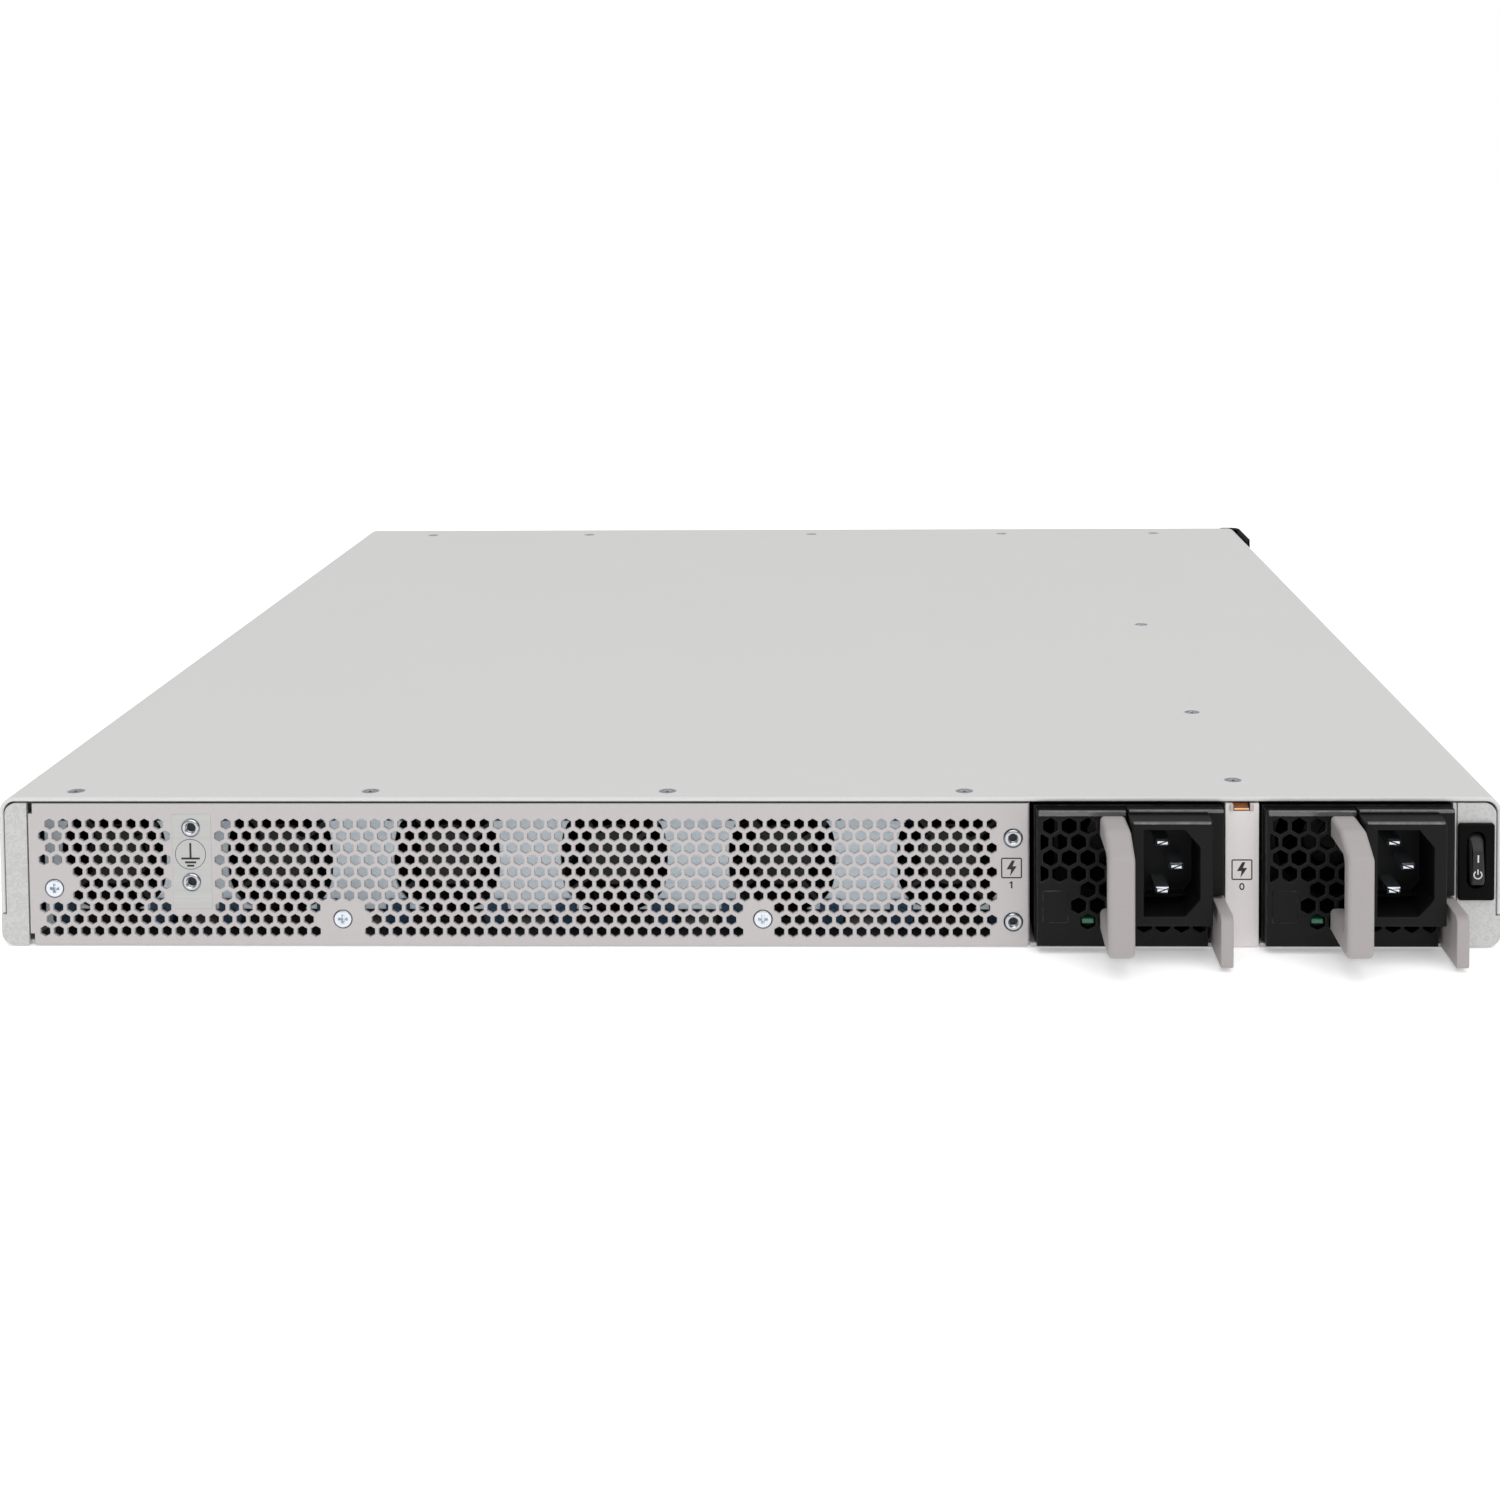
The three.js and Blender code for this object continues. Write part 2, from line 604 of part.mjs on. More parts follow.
// A finned block that stands on the main board.
function heatsink(name, x, y, width, length, fins) {
  const z0 = BOARD_Z[1] + GAP;
  const corners = [[x - width / 2, z0], [x + width / 2, z0]];
  const pitch = (width - 1.2) / (fins - 1);
  for (let i = fins - 1; i >= 0; i -= 1) {
    const left = x - width / 2 + i * pitch;
    corners.push([left + 1.2, z0 + 22]);
    corners.push([left, z0 + 22]);
    if (i > 0) {
      corners.push([left, z0 + 4]);
      corners.push([left - pitch + 1.2, z0 + 4]);
    }
  }
  return mesh(name, alongY(polygon(corners), y - length / 2, y + length / 2), FINISH.aluminium);
}

// ------------------------------------------------------------------ front

const JACK = { pitch: 13.97, width: 11.8, height: 8, depth: 14, notch: 6 };
const PORT_Z = [9, 35]; // the two-storey port blocks
const PORT_DEPTH = 22;
const JACK_FLOORS = [{ z: 12.2, notch: -1.7 }, { z: 23.8, notch: 1.7 }];
const BLOCKS = [
  { name: "mgmt_ports", x: -186, columns: 1 },
  { name: "port_block_left", x: -120, columns: 4 },
  { name: "port_block_right", x: -52, columns: 4 },
];
const CAGES = [
  { name: "sfp_cage", x: 30, columns: 2, pitch: 15.2, width: 13.8, height: 9 },
  { name: "qsfp_cage", x: 70, columns: 1, pitch: 20.4, width: 19, height: 9 },
];
const CAGE_FLOORS = [11, 24];
const CAGE_DEPTH = 40;
const USB = { x: -164, z: [18, 25], width: 14.4, hole: [12.4, 4.8], depth: 12 };

function blockWidth(columns) {
  return columns * JACK.pitch + 2;
}

// A shielded block of network jacks, two storeys high, each with a notch for the plug's clip.
function portBlock({ name, x, columns }) {
  const half = blockWidth(columns) / 2;
  let shape = box([x - half, x + half], [FRONT - PORT_DEPTH, FRONT], PORT_Z);
  const pocket = [FRONT - JACK.depth, FRONT + 1];
  for (let c = 0; c < columns; c += 1) {
    const cx = x + (c - (columns - 1) / 2) * JACK.pitch;
    for (const { z, notch } of JACK_FLOORS) {
      const hole = box([cx - JACK.width / 2, cx + JACK.width / 2], pocket, [z, z + JACK.height]);
      const clipZ = notch < 0 ? [z + notch, z + 1] : [z + JACK.height - 1, z + JACK.height + notch];
      const clip = box([cx - JACK.notch / 2, cx + JACK.notch / 2], pocket, clipZ);
      shape = shape.subtract(hole.add(clip));
    }
  }
  return mesh(name, shape, FINISH.portShield);
}

function cageHalf({ columns, pitch }) {
  return (columns * pitch + 1) / 2;
}

// A cage for pluggable optical modules, two storeys high.
function moduleCage(cage) {
  const half = cageHalf(cage);
  const y = [FRONT - CAGE_DEPTH - 6, FRONT];
  let shape = box([cage.x - half, cage.x + half], y, PORT_Z);
  for (let c = 0; c < cage.columns; c += 1) {
    const cx = cage.x + (c - (cage.columns - 1) / 2) * cage.pitch;
    for (const z of CAGE_FLOORS) {
      const hole = [cx - cage.width / 2, cx + cage.width / 2];
      shape = shape.subtract(box(hole, [FRONT - CAGE_DEPTH, FRONT + 1], [z, z + cage.height]));
    }
  }
  return mesh(cage.name, shape, FINISH.portShield);
}

function usbPort() {
  const [width, height] = USB.hole;
  const middle = (USB.z[0] + USB.z[1]) / 2;
  const shell = box([USB.x - USB.width / 2, USB.x + USB.width / 2], [FRONT - 16, FRONT], USB.z);
  const hole = box(
    [USB.x - width / 2, USB.x + width / 2],
    [FRONT - USB.depth, FRONT + 1],
    [middle - height / 2, middle + height / 2],
  );
  return mesh("usb_port", shell.subtract(hole), FINISH.portShield);
}

// The front panel has a window round each block of ports.
function frontPanel() {
  const y = [FRONT - SHEET, FRONT];
  const through = [FRONT - 3, FRONT + 1];
  let plate = alongY(baseOutline(0), ...y).intersect(box([-HALF, HALF], y, [SHEET + GAP, 50]));
  const blocks = BLOCKS.map(({ x, columns }) => ({ x, half: blockWidth(columns) / 2 }));
  const cages = CAGES.map((cage) => ({ x: cage.x, half: cageHalf(cage) }));
  for (const { x, half } of [...blocks, ...cages]) {
    const span = [x - half - GAP, x + half + GAP];
    plate = plate.subtract(box(span, through, [PORT_Z[0] - GAP, PORT_Z[1] + GAP]));
  }
  const usbX = [USB.x - USB.width / 2 - GAP, USB.x + USB.width / 2 + GAP];
  plate = plate.subtract(box(usbX, through, [USB.z[0] - GAP, USB.z[1] + GAP]));
  return mesh("front_panel", plate, FINISH.coverPaint);
}

// ------------------------------------------------------------------ assembly

const group = new THREE.Group();
group.add(basePan(), topCover(), rearPanel(), bayDivider(), bayWalls(), emiSpring());
group.add(cornerCap(), rearFittings(), fanBulkhead(), caseFans());
group.add(switchHousing(), powerRocker());
group.add(powerSupply(0), powerSupply(1));
group.add(mainBoard(), midplane());
group.add(heatsink("asic_heatsink", -70, 60, 70, 70, 14));
group.add(heatsink("cpu_heatsink", 30, 120, 42, 42, 9));
group.add(frontPanel(), usbPort());
BLOCKS.forEach((block) => group.add(portBlock(block)));
CAGES.forEach((cage) => group.add(moduleCage(cage)));

export default group;
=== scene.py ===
"""Looks of a rackmount network switch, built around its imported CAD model.

The switch is shown from the rear: a perforated panel with fans behind it, two slide-out
power supplies, a power rocker and a powder-coated cover. Every length is in metres, in the
frame of the CAD model: +Z up, the rear facing -Y, the port side facing +Y.
"""

import logging
import math
from dataclasses import dataclass, field
from enum import Enum
from typing import Callable, Iterable, Sequence, Union

import bmesh
import bpy
from mathutils import Matrix, Vector
from mathutils.geometry import delaunay_2d_cdt


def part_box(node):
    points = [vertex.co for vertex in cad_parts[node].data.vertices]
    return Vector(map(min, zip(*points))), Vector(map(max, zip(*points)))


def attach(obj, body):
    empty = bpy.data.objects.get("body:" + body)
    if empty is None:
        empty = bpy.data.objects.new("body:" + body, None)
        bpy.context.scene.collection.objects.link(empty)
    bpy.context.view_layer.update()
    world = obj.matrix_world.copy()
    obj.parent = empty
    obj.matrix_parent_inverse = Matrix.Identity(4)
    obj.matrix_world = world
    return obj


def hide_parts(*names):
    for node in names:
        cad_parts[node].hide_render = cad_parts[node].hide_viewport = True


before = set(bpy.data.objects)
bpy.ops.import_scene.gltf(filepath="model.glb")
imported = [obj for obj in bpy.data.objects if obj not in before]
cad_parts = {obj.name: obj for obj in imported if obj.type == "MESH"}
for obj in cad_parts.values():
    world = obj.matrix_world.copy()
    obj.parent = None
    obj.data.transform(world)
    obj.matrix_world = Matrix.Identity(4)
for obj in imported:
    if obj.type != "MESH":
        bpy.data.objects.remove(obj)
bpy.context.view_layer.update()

LOG = logging.getLogger("switch")
MM = 0.001
ON_AXIS = 1e-9
WELD = 1e-7
Point2 = tuple[float, float]
Point3 = tuple[float, float, float]
Span4 = tuple[float, float, float, float]
Feed = Union[bpy.types.NodeSocket, float, Sequence[float]]


class Slot(str, Enum):
    """Material slots of the record."""

    COVER = "cover_paint"
    PANEL = "panel_paint"
    GALVANISED = "galvanised"
    ZINC = "zinc"
    COPPER = "copper"
    PSU = "psu_black"
    INLET = "inlet_plastic"
    HANDLE = "handle_grey"
    BLACK = "black_plastic"
    FAN = "fan_plastic"
    BOARD = "board"
    SOCKET = "socket_plastic"
    ALUMINIUM = "aluminium"
    SHIELD = "port_shield"


class Body(str, Enum):
    """CAD bodies that a piece can ride on, where the name doesn't depend on a number."""

    CHASSIS = "chassis"
    ROCKER = "rocker"


class Axis(Enum):
    """Direction in which an outline is drawn out; the outline lies in the other two."""

    X = 0
    Y = 1
    Z = 2


# ---------------------------------------------------------------- mesh making


def lift(axis: Axis, u: float, v: float, w: float) -> Point3:
    """Places outline coordinates u, v at height w along an axis."""
    return {Axis.X: (w, u, v), Axis.Y: (u, w, v), Axis.Z: (u, v, w)}[axis]


def arc(cu: float, cv: float, radius: float, start: float, end: float, steps: int) -> list[Point2]:
    """Points of an arc, ends included.

    Args:
        cu: centre, first coordinate.
        cv: centre, second coordinate.
        radius: radius of the arc.
        start: first angle in degrees.
        end: last angle in degrees.
        steps: number of segments.

    Returns:
        The points in order.
    """
    turns = [math.radians(start + (end - start) * i / steps) for i in range(steps + 1)]
    return [(cu + radius * math.cos(t), cv + radius * math.sin(t)) for t in turns]


def rounded_rect(u0: float, u1: float, v0: float, v1: float, radius: float, steps: int = 5) -> list[Point2]:
    """Outline of a rectangle with round corners, counter-clockwise.

    Args:
        u0: lowest first coordinate.
        u1: highest first coordinate.
        v0: lowest second coordinate.
        v1: highest second coordinate.
        radius: radius of the corners.
        steps: segments of each corner.

    Returns:
        The points in order.
    """
    r = radius
    return (
        arc(u1 - r, v0 + r, r, -90, 0, steps)
        + arc(u1 - r, v1 - r, r, 0, 90, steps)
        + arc(u0 + r, v1 - r, r, 90, 180, steps)
        + arc(u0 + r, v0 + r, r, 180, 270, steps)
    )


def circle(cu: float, cv: float, radius: float, sides: int) -> list[Point2]:
    """Outline of a circle, counter-clockwise."""
    return arc(cu, cv, radius, 0, 360, sides)[:-1]


def hexagon(cu: float, cv: float, flats: float) -> list[Point2]:
    """Outline of a hexagon that stands on a point, from its width across flats."""
    return arc(cu, cv, flats / math.sqrt(3), 30, 390, 6)[:-1]


def grown(outline: Sequence[Point2], by: float) -> list[Point2]:
    """Moves an outline outwards.

    Args:
        outline: the outline, counter-clockwise.
        by: distance, negative to move it inwards.

    Returns:
        The moved outline, with as many points.
    """
    made = []
    count = len(outline)
    for i in range(count):
        before = Vector(outline[i - 1])
        here = Vector(outline[i])
        after = Vector(outline[(i + 1) % count])
        first = (here - before).normalized()
        second = (after - here).normalized()
        side = Vector((first.y + second.y, -first.x - second.x))
        side.normalize()
        reach = by / max(0.3, side.dot(Vector((first.y, -first.x))))
        made.append((here.x + side.x * reach, here.y + side.y * reach))
    return made


class MeshBuilder:
    """Gathers vertices and faces and makes an object of them."""

    def __init__(self) -> None:
        """Starts empty."""
        self.vertices: list[Point3] = []
        self.faces: list[tuple[int, ...]] = []

    def ring(self, points: Iterable[Point3]) -> list[int]:
        """Adds points and returns their numbers."""
        first = len(self.vertices)
        self.vertices.extend(points)
        return list(range(first, len(self.vertices)))

    def bridge(self, low: Sequence[int], high: Sequence[int], skip: int = -1) -> None:
        """Joins two rings of the same length with four-sided faces.

        Args:
            low: vertex numbers of the first ring.
            high: vertex numbers of the second ring.
            skip: number of a face that is left out, none where negative.
        """
        for i in range(len(low)):
            j = (i + 1) % len(low)
            if i != skip:
                self.faces.append((low[i], low[j], high[j], high[i]))

    def cap(self, ring: Sequence[int], flip: bool = False) -> None:
        """Closes a ring with one face."""
        self.faces.append(tuple(reversed(ring)) if flip else tuple(ring))

    def slab(
        self,
        outline: Sequence[Point2],
        holes: Sequence[Sequence[Point2]],
        axis: Axis,
        low: float,
        high: float,
        soft_low: float = 0.0,
        soft_high: float = 0.0,
        steps: int = 2,
    ) -> None:
        """Adds a plate or prism whose end edges are rounded, holes included.

        Args:
            outline: outer edge, counter-clockwise in the two outline axes.
            holes: edge of each hole, counter-clockwise.
            axis: direction through the plate.
            low: place of the lower face along the axis.
            high: place of the upper face along the axis.
            soft_low: radius of the edges at the lower face.
            soft_high: radius of the edges at the upper face.
            steps: segments of each rounded edge; one makes a chamfer.
        """
        levels = [(low + w, inset) for w, inset in self.ease(soft_low, steps)]
        levels += [(high - w, inset) for w, inset in reversed(self.ease(soft_high, steps))]
        first, last = levels[0], levels[-1]
        start = self.end_face(outline, holes, axis, first, flip=True)
        stop = self.end_face(outline, holes, axis, last)
        rows = [start]
        for w, inset in levels[1:-1]:
            rims = [grown(outline, -inset), *(grown(h, inset) for h in holes)]
            rows.append([self.ring(lift(axis, u, v, w) for u, v in rim) for rim in rims])
        rows.append(stop)
        for below, above in zip(rows, rows[1:]):
            for a, b in zip(below, above):
                self.bridge(a, b)

    @staticmethod
    def ease(radius: float, steps: int) -> list[Point2]:
        """Depth and inset of each level of a rounded edge, from the face inwards."""
        if radius <= 0:
            return [(0.0, 0.0)]
        turns = [math.pi / 2 * i / steps for i in range(steps + 1)]
        return [(radius * (1 - math.cos(t)), radius * (1 - math.sin(t))) for t in turns]

    def end_face(
        self,
        outline: Sequence[Point2],
        holes: Sequence[Sequence[Point2]],
        axis: Axis,
        level: Point2,
        flip: bool = False,
    ) -> list[list[int]]:
        """Adds one end of a slab.

        Args:
            outline: outer edge of the slab.
            holes: edge of each hole.
            axis: direction through the slab.
            level: place along the axis, and how far the face is inset there.
            flip: turns the face round.

        Returns:
            The vertex numbers of its rings, the outer one first.
        """
        w, inset = level
        rim = grown(outline, -inset)
        if not holes:
            ring = self.ring(lift(axis, u, v, w) for u, v in rim)
            self.cap(ring, flip)
            return [ring]
        wide = [grown(h, inset) for h in holes]
        outer, inner = self.sheet_face(rim, wide, lambda u, v: lift(axis, u, v, w), flip)
        return [outer, *inner]

    def lathe(self, profile: Sequence[Point2], centre: Point3, axis: Axis, sides: int) -> None:
        """Adds a turned shape.

        Args:
            profile: radius and height of each ring, in order; a radius of zero is a point on the axis.
            centre: where the axis meets height zero.
            axis: direction of the axis.
            sides: number of sides round the axis.
        """
        rings: list[list[int]] = []
        cu, cv, cw = {
            Axis.X: (centre[1], centre[2], centre[0]),
            Axis.Y: (centre[0], centre[2], centre[1]),
            Axis.Z: (centre[0], centre[1], centre[2]),
        }[axis]
        for radius, height in profile:
            if radius < ON_AXIS:
                rings.append(self.ring([lift(axis, cu, cv, cw + height)]))
            else:
                points = circle(cu, cv, radius, sides)
                rings.append(self.ring(lift(axis, u, v, cw + height) for u, v in points))
        for low, high in zip(rings, rings[1:]):
            for i in range(sides):
                j = (i + 1) % sides
                if len(low) == 1 and len(high) > 1:
                    self.faces.append((low[0], high[j], high[i]))
                elif len(high) == 1 and len(low) > 1:
                    self.faces.append((low[i], low[j], high[0]))
                elif len(low) > 1:
                    self.faces.append((low[i], low[j], high[j], high[i]))

    def sheet_face(
        self,
        outline: Sequence[Point2],
        holes: Sequence[Sequence[Point2]],
        place: Callable[[float, float], Point3],
        flip: bool = False,
    ) -> tuple[list[int], list[list[int]]]:
        """Adds a flat face with holes.

        Args:
            outline: outer edge, counter-clockwise.
            holes: edge of each hole, counter-clockwise.
            place: puts an outline point into the frame.
            flip: turns the face round.

        Returns:
            The vertex numbers of the outer edge and of each hole's edge.
        """
        points = [Vector(p) / MM for p in outline]
        rings = [list(range(len(points)))]
        for hole in holes:
            start = len(points)
            points.extend(Vector(p) / MM for p in hole)
            rings.append(list(range(start, len(points))))
        edges = [(r[i], r[(i + 1) % len(r)]) for r in rings for i in range(len(r))]
        result = delaunay_2d_cdt(points, edges, [], 0, 1e-6)
        placed, triangles, origin = [p * MM for p in result[0]], result[2], result[3]
        numbers = self.ring(place(p.x, p.y) for p in placed)
        back = {source: numbers[i] for i, sources in enumerate(origin) for source in sources}
        inside = HoleTest(outline, holes)
        for triangle in triangles:
            middle = sum((placed[i] for i in triangle), Vector((0, 0))) / 3
            if inside.solid(middle.x, middle.y):
                face = tuple(numbers[i] for i in triangle)
                self.faces.append(tuple(reversed(face)) if flip else face)
        return [back[i] for i in rings[0]], [[back[i] for i in ring] for ring in rings[1:]]

    def make(self, name: str, smooth: float = 35.0) -> bpy.types.Object:
        """Makes the object.

        Args:
            name: name of the piece.
            smooth: faces that meet at less than this angle, in degrees, look continuous.

        Returns:
            The new object, linked to the scene.
        """
        data = bpy.data.meshes.new(name)
        data.from_pydata(self.vertices, [], self.faces)
        mesh = bmesh.new()
        mesh.from_mesh(data)
        bmesh.ops.remove_doubles(mesh, verts=mesh.verts, dist=WELD)
        bmesh.ops.recalc_face_normals(mesh, faces=mesh.faces)
        mesh.to_mesh(data)
        mesh.free()
        data.shade_smooth()
        data.set_sharp_from_angle(angle=math.radians(smooth))
        made = bpy.data.objects.new(name, data)
        bpy.context.scene.collection.objects.link(made)
        even = made.modifiers.new("even_shading", "WEIGHTED_NORMAL")
        even.keep_sharp = True
        return made


class HoleTest:
    """Tells whether a point lies in the solid part of a sheet, with a grid to find near holes."""

    CELL = 0.006

    def __init__(self, outline: Sequence[Point2], holes: Sequence[Sequence[Point2]]) -> None:
        """Sorts the holes into cells."""
        self.outline = outline
        self.cells: dict[tuple[int, int], list[Sequence[Point2]]] = {}
        for hole in holes:
            us = [p[0] for p in hole]
            vs = [p[1] for p in hole]
            for i in range(self.cell(min(us)), self.cell(max(us)) + 1):
                for j in range(self.cell(min(vs)), self.cell(max(vs)) + 1):
                    self.cells.setdefault((i, j), []).append(hole)

    def cell(self, value: float) -> int:
        """Number of the grid cell that holds a coordinate."""
        return math.floor(value / self.CELL)

    def solid(self, u: float, v: float) -> bool:
        """True if the point is inside the outline and outside every hole."""
        near = self.cells.get((self.cell(u), self.cell(v)), [])
        return self.holds(self.outline, u, v) and not any(self.holds(h, u, v) for h in near)

    @staticmethod
    def holds(outline: Sequence[Point2], u: float, v: float) -> bool:
        """True if the point is inside an outline."""
        found = False
        for i, (u1, v1) in enumerate(outline):
            u0, v0 = outline[i - 1]
            if (v0 > v) != (v1 > v) and u < (u1 - u0) * (v - v0) / (v1 - v0) + u0:
                found = not found
        return found


# ---------------------------------------------------------------- shader groups


class Nodes:
    """Short-hand for making and joining shader nodes in one tree."""

    def __init__(self, tree: bpy.types.NodeTree) -> None:
        """Takes the tree to build in."""
        self.tree = tree
        self.column = 0

    def add(self, kind: str, inputs: dict | None = None, **settings: object) -> bpy.types.Node:
        """Adds a node.

        Args:
            kind: Blender's name for the node.
            inputs: socket name or number to a value or an output socket to join.
            **settings: properties of the node.

        Returns:
            The node.
        """
        node = self.tree.nodes.new(kind)
        node.location = (self.column, 0)
        self.column += 180
        for name, value in settings.items():
            setattr(node, name, value)
        for name, value in (inputs or {}).items():
            socket = node.inputs[name]
            if isinstance(value, bpy.types.NodeSocket):
                self.tree.links.new(value, socket)
            else:
                socket.default_value = value
        return node

    def math(self, operation: str, a: Feed, b: Feed = 0.0, clamp: bool = False) -> bpy.types.NodeSocket:
        """Adds a math node and returns its output."""
        node = self.add("ShaderNodeMath", {0: a, 1: b}, operation=operation, use_clamp=clamp)
        return node.outputs[0]

    def mix(self, factor: Feed, a: Feed, b: Feed, blend: str = "MIX") -> bpy.types.NodeSocket:
        """Adds a colour mix and returns its output."""
        node = self.add("ShaderNodeMix", {0: factor, 6: a, 7: b}, data_type="RGBA", blend_type=blend)
        return node.outputs[2]

    def span(
        self, value: Feed, low: float, high: float, to_low: float, to_high: float
    ) -> bpy.types.NodeSocket:
        """Maps a value from one range to another, clamped."""
        node = self.add("ShaderNodeMapRange", {0: value, 1: low, 2: high, 3: to_low, 4: to_high})
        return node.outputs[0]


class EffectGroup:
    """A shader node group that several finishes share."""

    def __init__(self, name: str) -> None:
        """Starts an empty group."""
        self.tree = bpy.data.node_groups.new(name, "ShaderNodeTree")
        self.nodes = Nodes(self.tree)
        self.entry: bpy.types.Node | None = None
        self.exit: bpy.types.Node | None = None

    def takes(self, **sockets: float) -> "EffectGroup":
        for name, default in sockets.items():
            made = self.tree.interface.new_socket(name, in_out="INPUT", socket_type="NodeSocketFloat")
            made.default_value = default
        self.entry = self.tree.nodes.new("NodeGroupInput")
        return self

    def gives(self, **sockets: str) -> "EffectGroup":
        for name, kind in sockets.items():
            self.tree.interface.new_socket(name, in_out="OUTPUT", socket_type=f"NodeSocket{kind}")
        self.exit = self.tree.nodes.new("NodeGroupOutput")
        return self

    def value(self, name: str) -> bpy.types.NodeSocket:
        """An input as seen from inside the group."""
        return self.entry.outputs[name]

    def put(self, name: str, socket: bpy.types.NodeSocket) -> None:
        """Joins a socket to an output of the group."""
        self.tree.links.new(socket, self.exit.inputs[name])


class Effects:
    """The shared groups: soft edges with wear and painted edge highlight, coat grain, zinc spangle, film of
    dust, drawn lines.
    """

    def __init__(self) -> None:
        """Builds each group once."""
        self.edges = self.soft_edges()
        self.grain = self.coat_grain()
        self.spangle = self.zinc_spangle()
        self.film = self.dust_film()
        self.lines = self.drawn_lines()

    @staticmethod
    def place(nodes: Nodes) -> bpy.types.NodeSocket:
        """Position on the piece, in metres."""
        return nodes.add("ShaderNodeTexCoord").outputs["Object"]

    def soft_edges(self) -> bpy.types.NodeTree:
        """Rounds the shading of sharp edges and marks them for wear, and for the painted highlight of the
        glossy lips.
        """
        group = EffectGroup("soft_edges").takes(Radius=0.0003, Wear=0.3, Patch=400.0)
        group.gives(Mask="Float", Normal="Vector")
        nodes = group.nodes
        bevel = nodes.add("ShaderNodeBevel", {"Radius": group.value("Radius")}, samples=4)
        true = nodes.add("ShaderNodeNewGeometry").outputs["True Normal"]
        facing = nodes.add("ShaderNodeVectorMath", {0: bevel.outputs[0], 1: true}, operation="DOT_PRODUCT")
        turned = nodes.span(facing.outputs["Value"], 0.995, 0.8, 0.0, 1.0)
        noise = nodes.add(
            "ShaderNodeTexNoise",
            {"Vector": self.place(nodes), "Scale": group.value("Patch"), "Detail": 3.0},
        )
        patch = nodes.span(noise.outputs[0], 0.35, 0.7, 0.0, 1.0)
        worn_and_highlit = nodes.math("MULTIPLY", nodes.math("MULTIPLY", turned, patch), group.value("Wear"))
        group.put("Mask", worn_and_highlit)
        group.put("Normal", bevel.outputs[0])
        return group.tree

    def coat_grain(self) -> bpy.types.NodeTree:
        """Fine orange-peel grain with a slow drift in tone."""
        group = EffectGroup("coat_grain").takes(Scale=1500.0, Drift=18.0, Cloud=0.3, Speck=1.0)
        group.gives(Shade="Float", Height="Float")
        nodes = group.nodes
        place = self.place(nodes)
        fine = nodes.add(
            "ShaderNodeTexNoise",
            {"Vector": place, "Scale": group.value("Scale"), "Detail": 4.0, "Roughness": 0.6},
        ).outputs[0]
        slow = nodes.add(
            "ShaderNodeTexNoise", {"Vector": place, "Scale": group.value("Drift"), "Detail": 3.0}
        ).outputs[0]
        cloud = nodes.math("MULTIPLY", nodes.math("SUBTRACT", slow, 0.5), group.value("Cloud"))
        speck = nodes.math("MULTIPLY", nodes.math("SUBTRACT", fine, 0.5), group.value("Speck"))
        group.put("Shade", nodes.math("ADD", nodes.math("ADD", cloud, speck), 0.5))
        group.put("Height", fine)
        return group.tree

    def zinc_spangle(self) -> bpy.types.NodeTree:
        """Crystal flakes of a zinc coating."""
        group = EffectGroup("zinc_spangle").takes(Scale=700.0)
        group.gives(Shade="Float", Height="Float")
        nodes = group.nodes
        place = self.place(nodes)
        bend = nodes.add("ShaderNodeTexNoise", {"Vector": place, "Scale": 260.0, "Detail": 2.0})
        moved = nodes.mix(0.012, place, bend.outputs[1], "ADD")
        flake = nodes.add("ShaderNodeTexVoronoi", {"Vector": moved, "Scale": group.value("Scale")})
        tone = nodes.add("ShaderNodeSeparateColor", {0: flake.outputs["Color"]}).outputs[0]
        group.put("Shade", tone)
        group.put("Height", flake.outputs["Distance"])
        return group.tree

    def dust_film(self) -> bpy.types.NodeTree:
        """A thin film that gathers in patches, more on what faces up."""
        group = EffectGroup("dust_film").takes(Scale=30.0, Amount=0.2)
        group.gives(Mask="Float")
        nodes = group.nodes
        cloud = nodes.add(
            "ShaderNodeTexNoise",
            {"Vector": self.place(nodes), "Scale": group.value("Scale"), "Detail": 5.0, "Roughness": 0.65},
        ).outputs[0]
        normal = nodes.add("ShaderNodeNewGeometry").outputs["Normal"]
        up = nodes.add("ShaderNodeSeparateXYZ", {0: normal}).outputs[2]
        lie = nodes.span(up, -0.2, 1.0, 0.4, 1.0)
        spread = nodes.span(cloud, 0.35, 0.75, 0.0, 1.0)
        lain = nodes.math("MULTIPLY", spread, lie)
        group.put("Mask", nodes.math("MULTIPLY", lain, group.value("Amount")))
        return group.tree

    def drawn_lines(self) -> bpy.types.NodeTree:
        """Fine lines along X, as rolling or brushing leaves them."""
        group = EffectGroup("drawn_lines").takes(Scale=2500.0)
        group.gives(Shade="Float")
        nodes = group.nodes
        stretched = nodes.add("ShaderNodeMapping", {"Vector": self.place(nodes), "Scale": (0.03, 1.0, 1.0)})
        lines = nodes.add(
            "ShaderNodeTexNoise",
            {"Vector": stretched.outputs[0], "Scale": group.value("Scale"), "Detail": 3.0},
        )
        group.put("Shade", lines.outputs[0])
        return group.tree


# ---------------------------------------------------------------- finishes


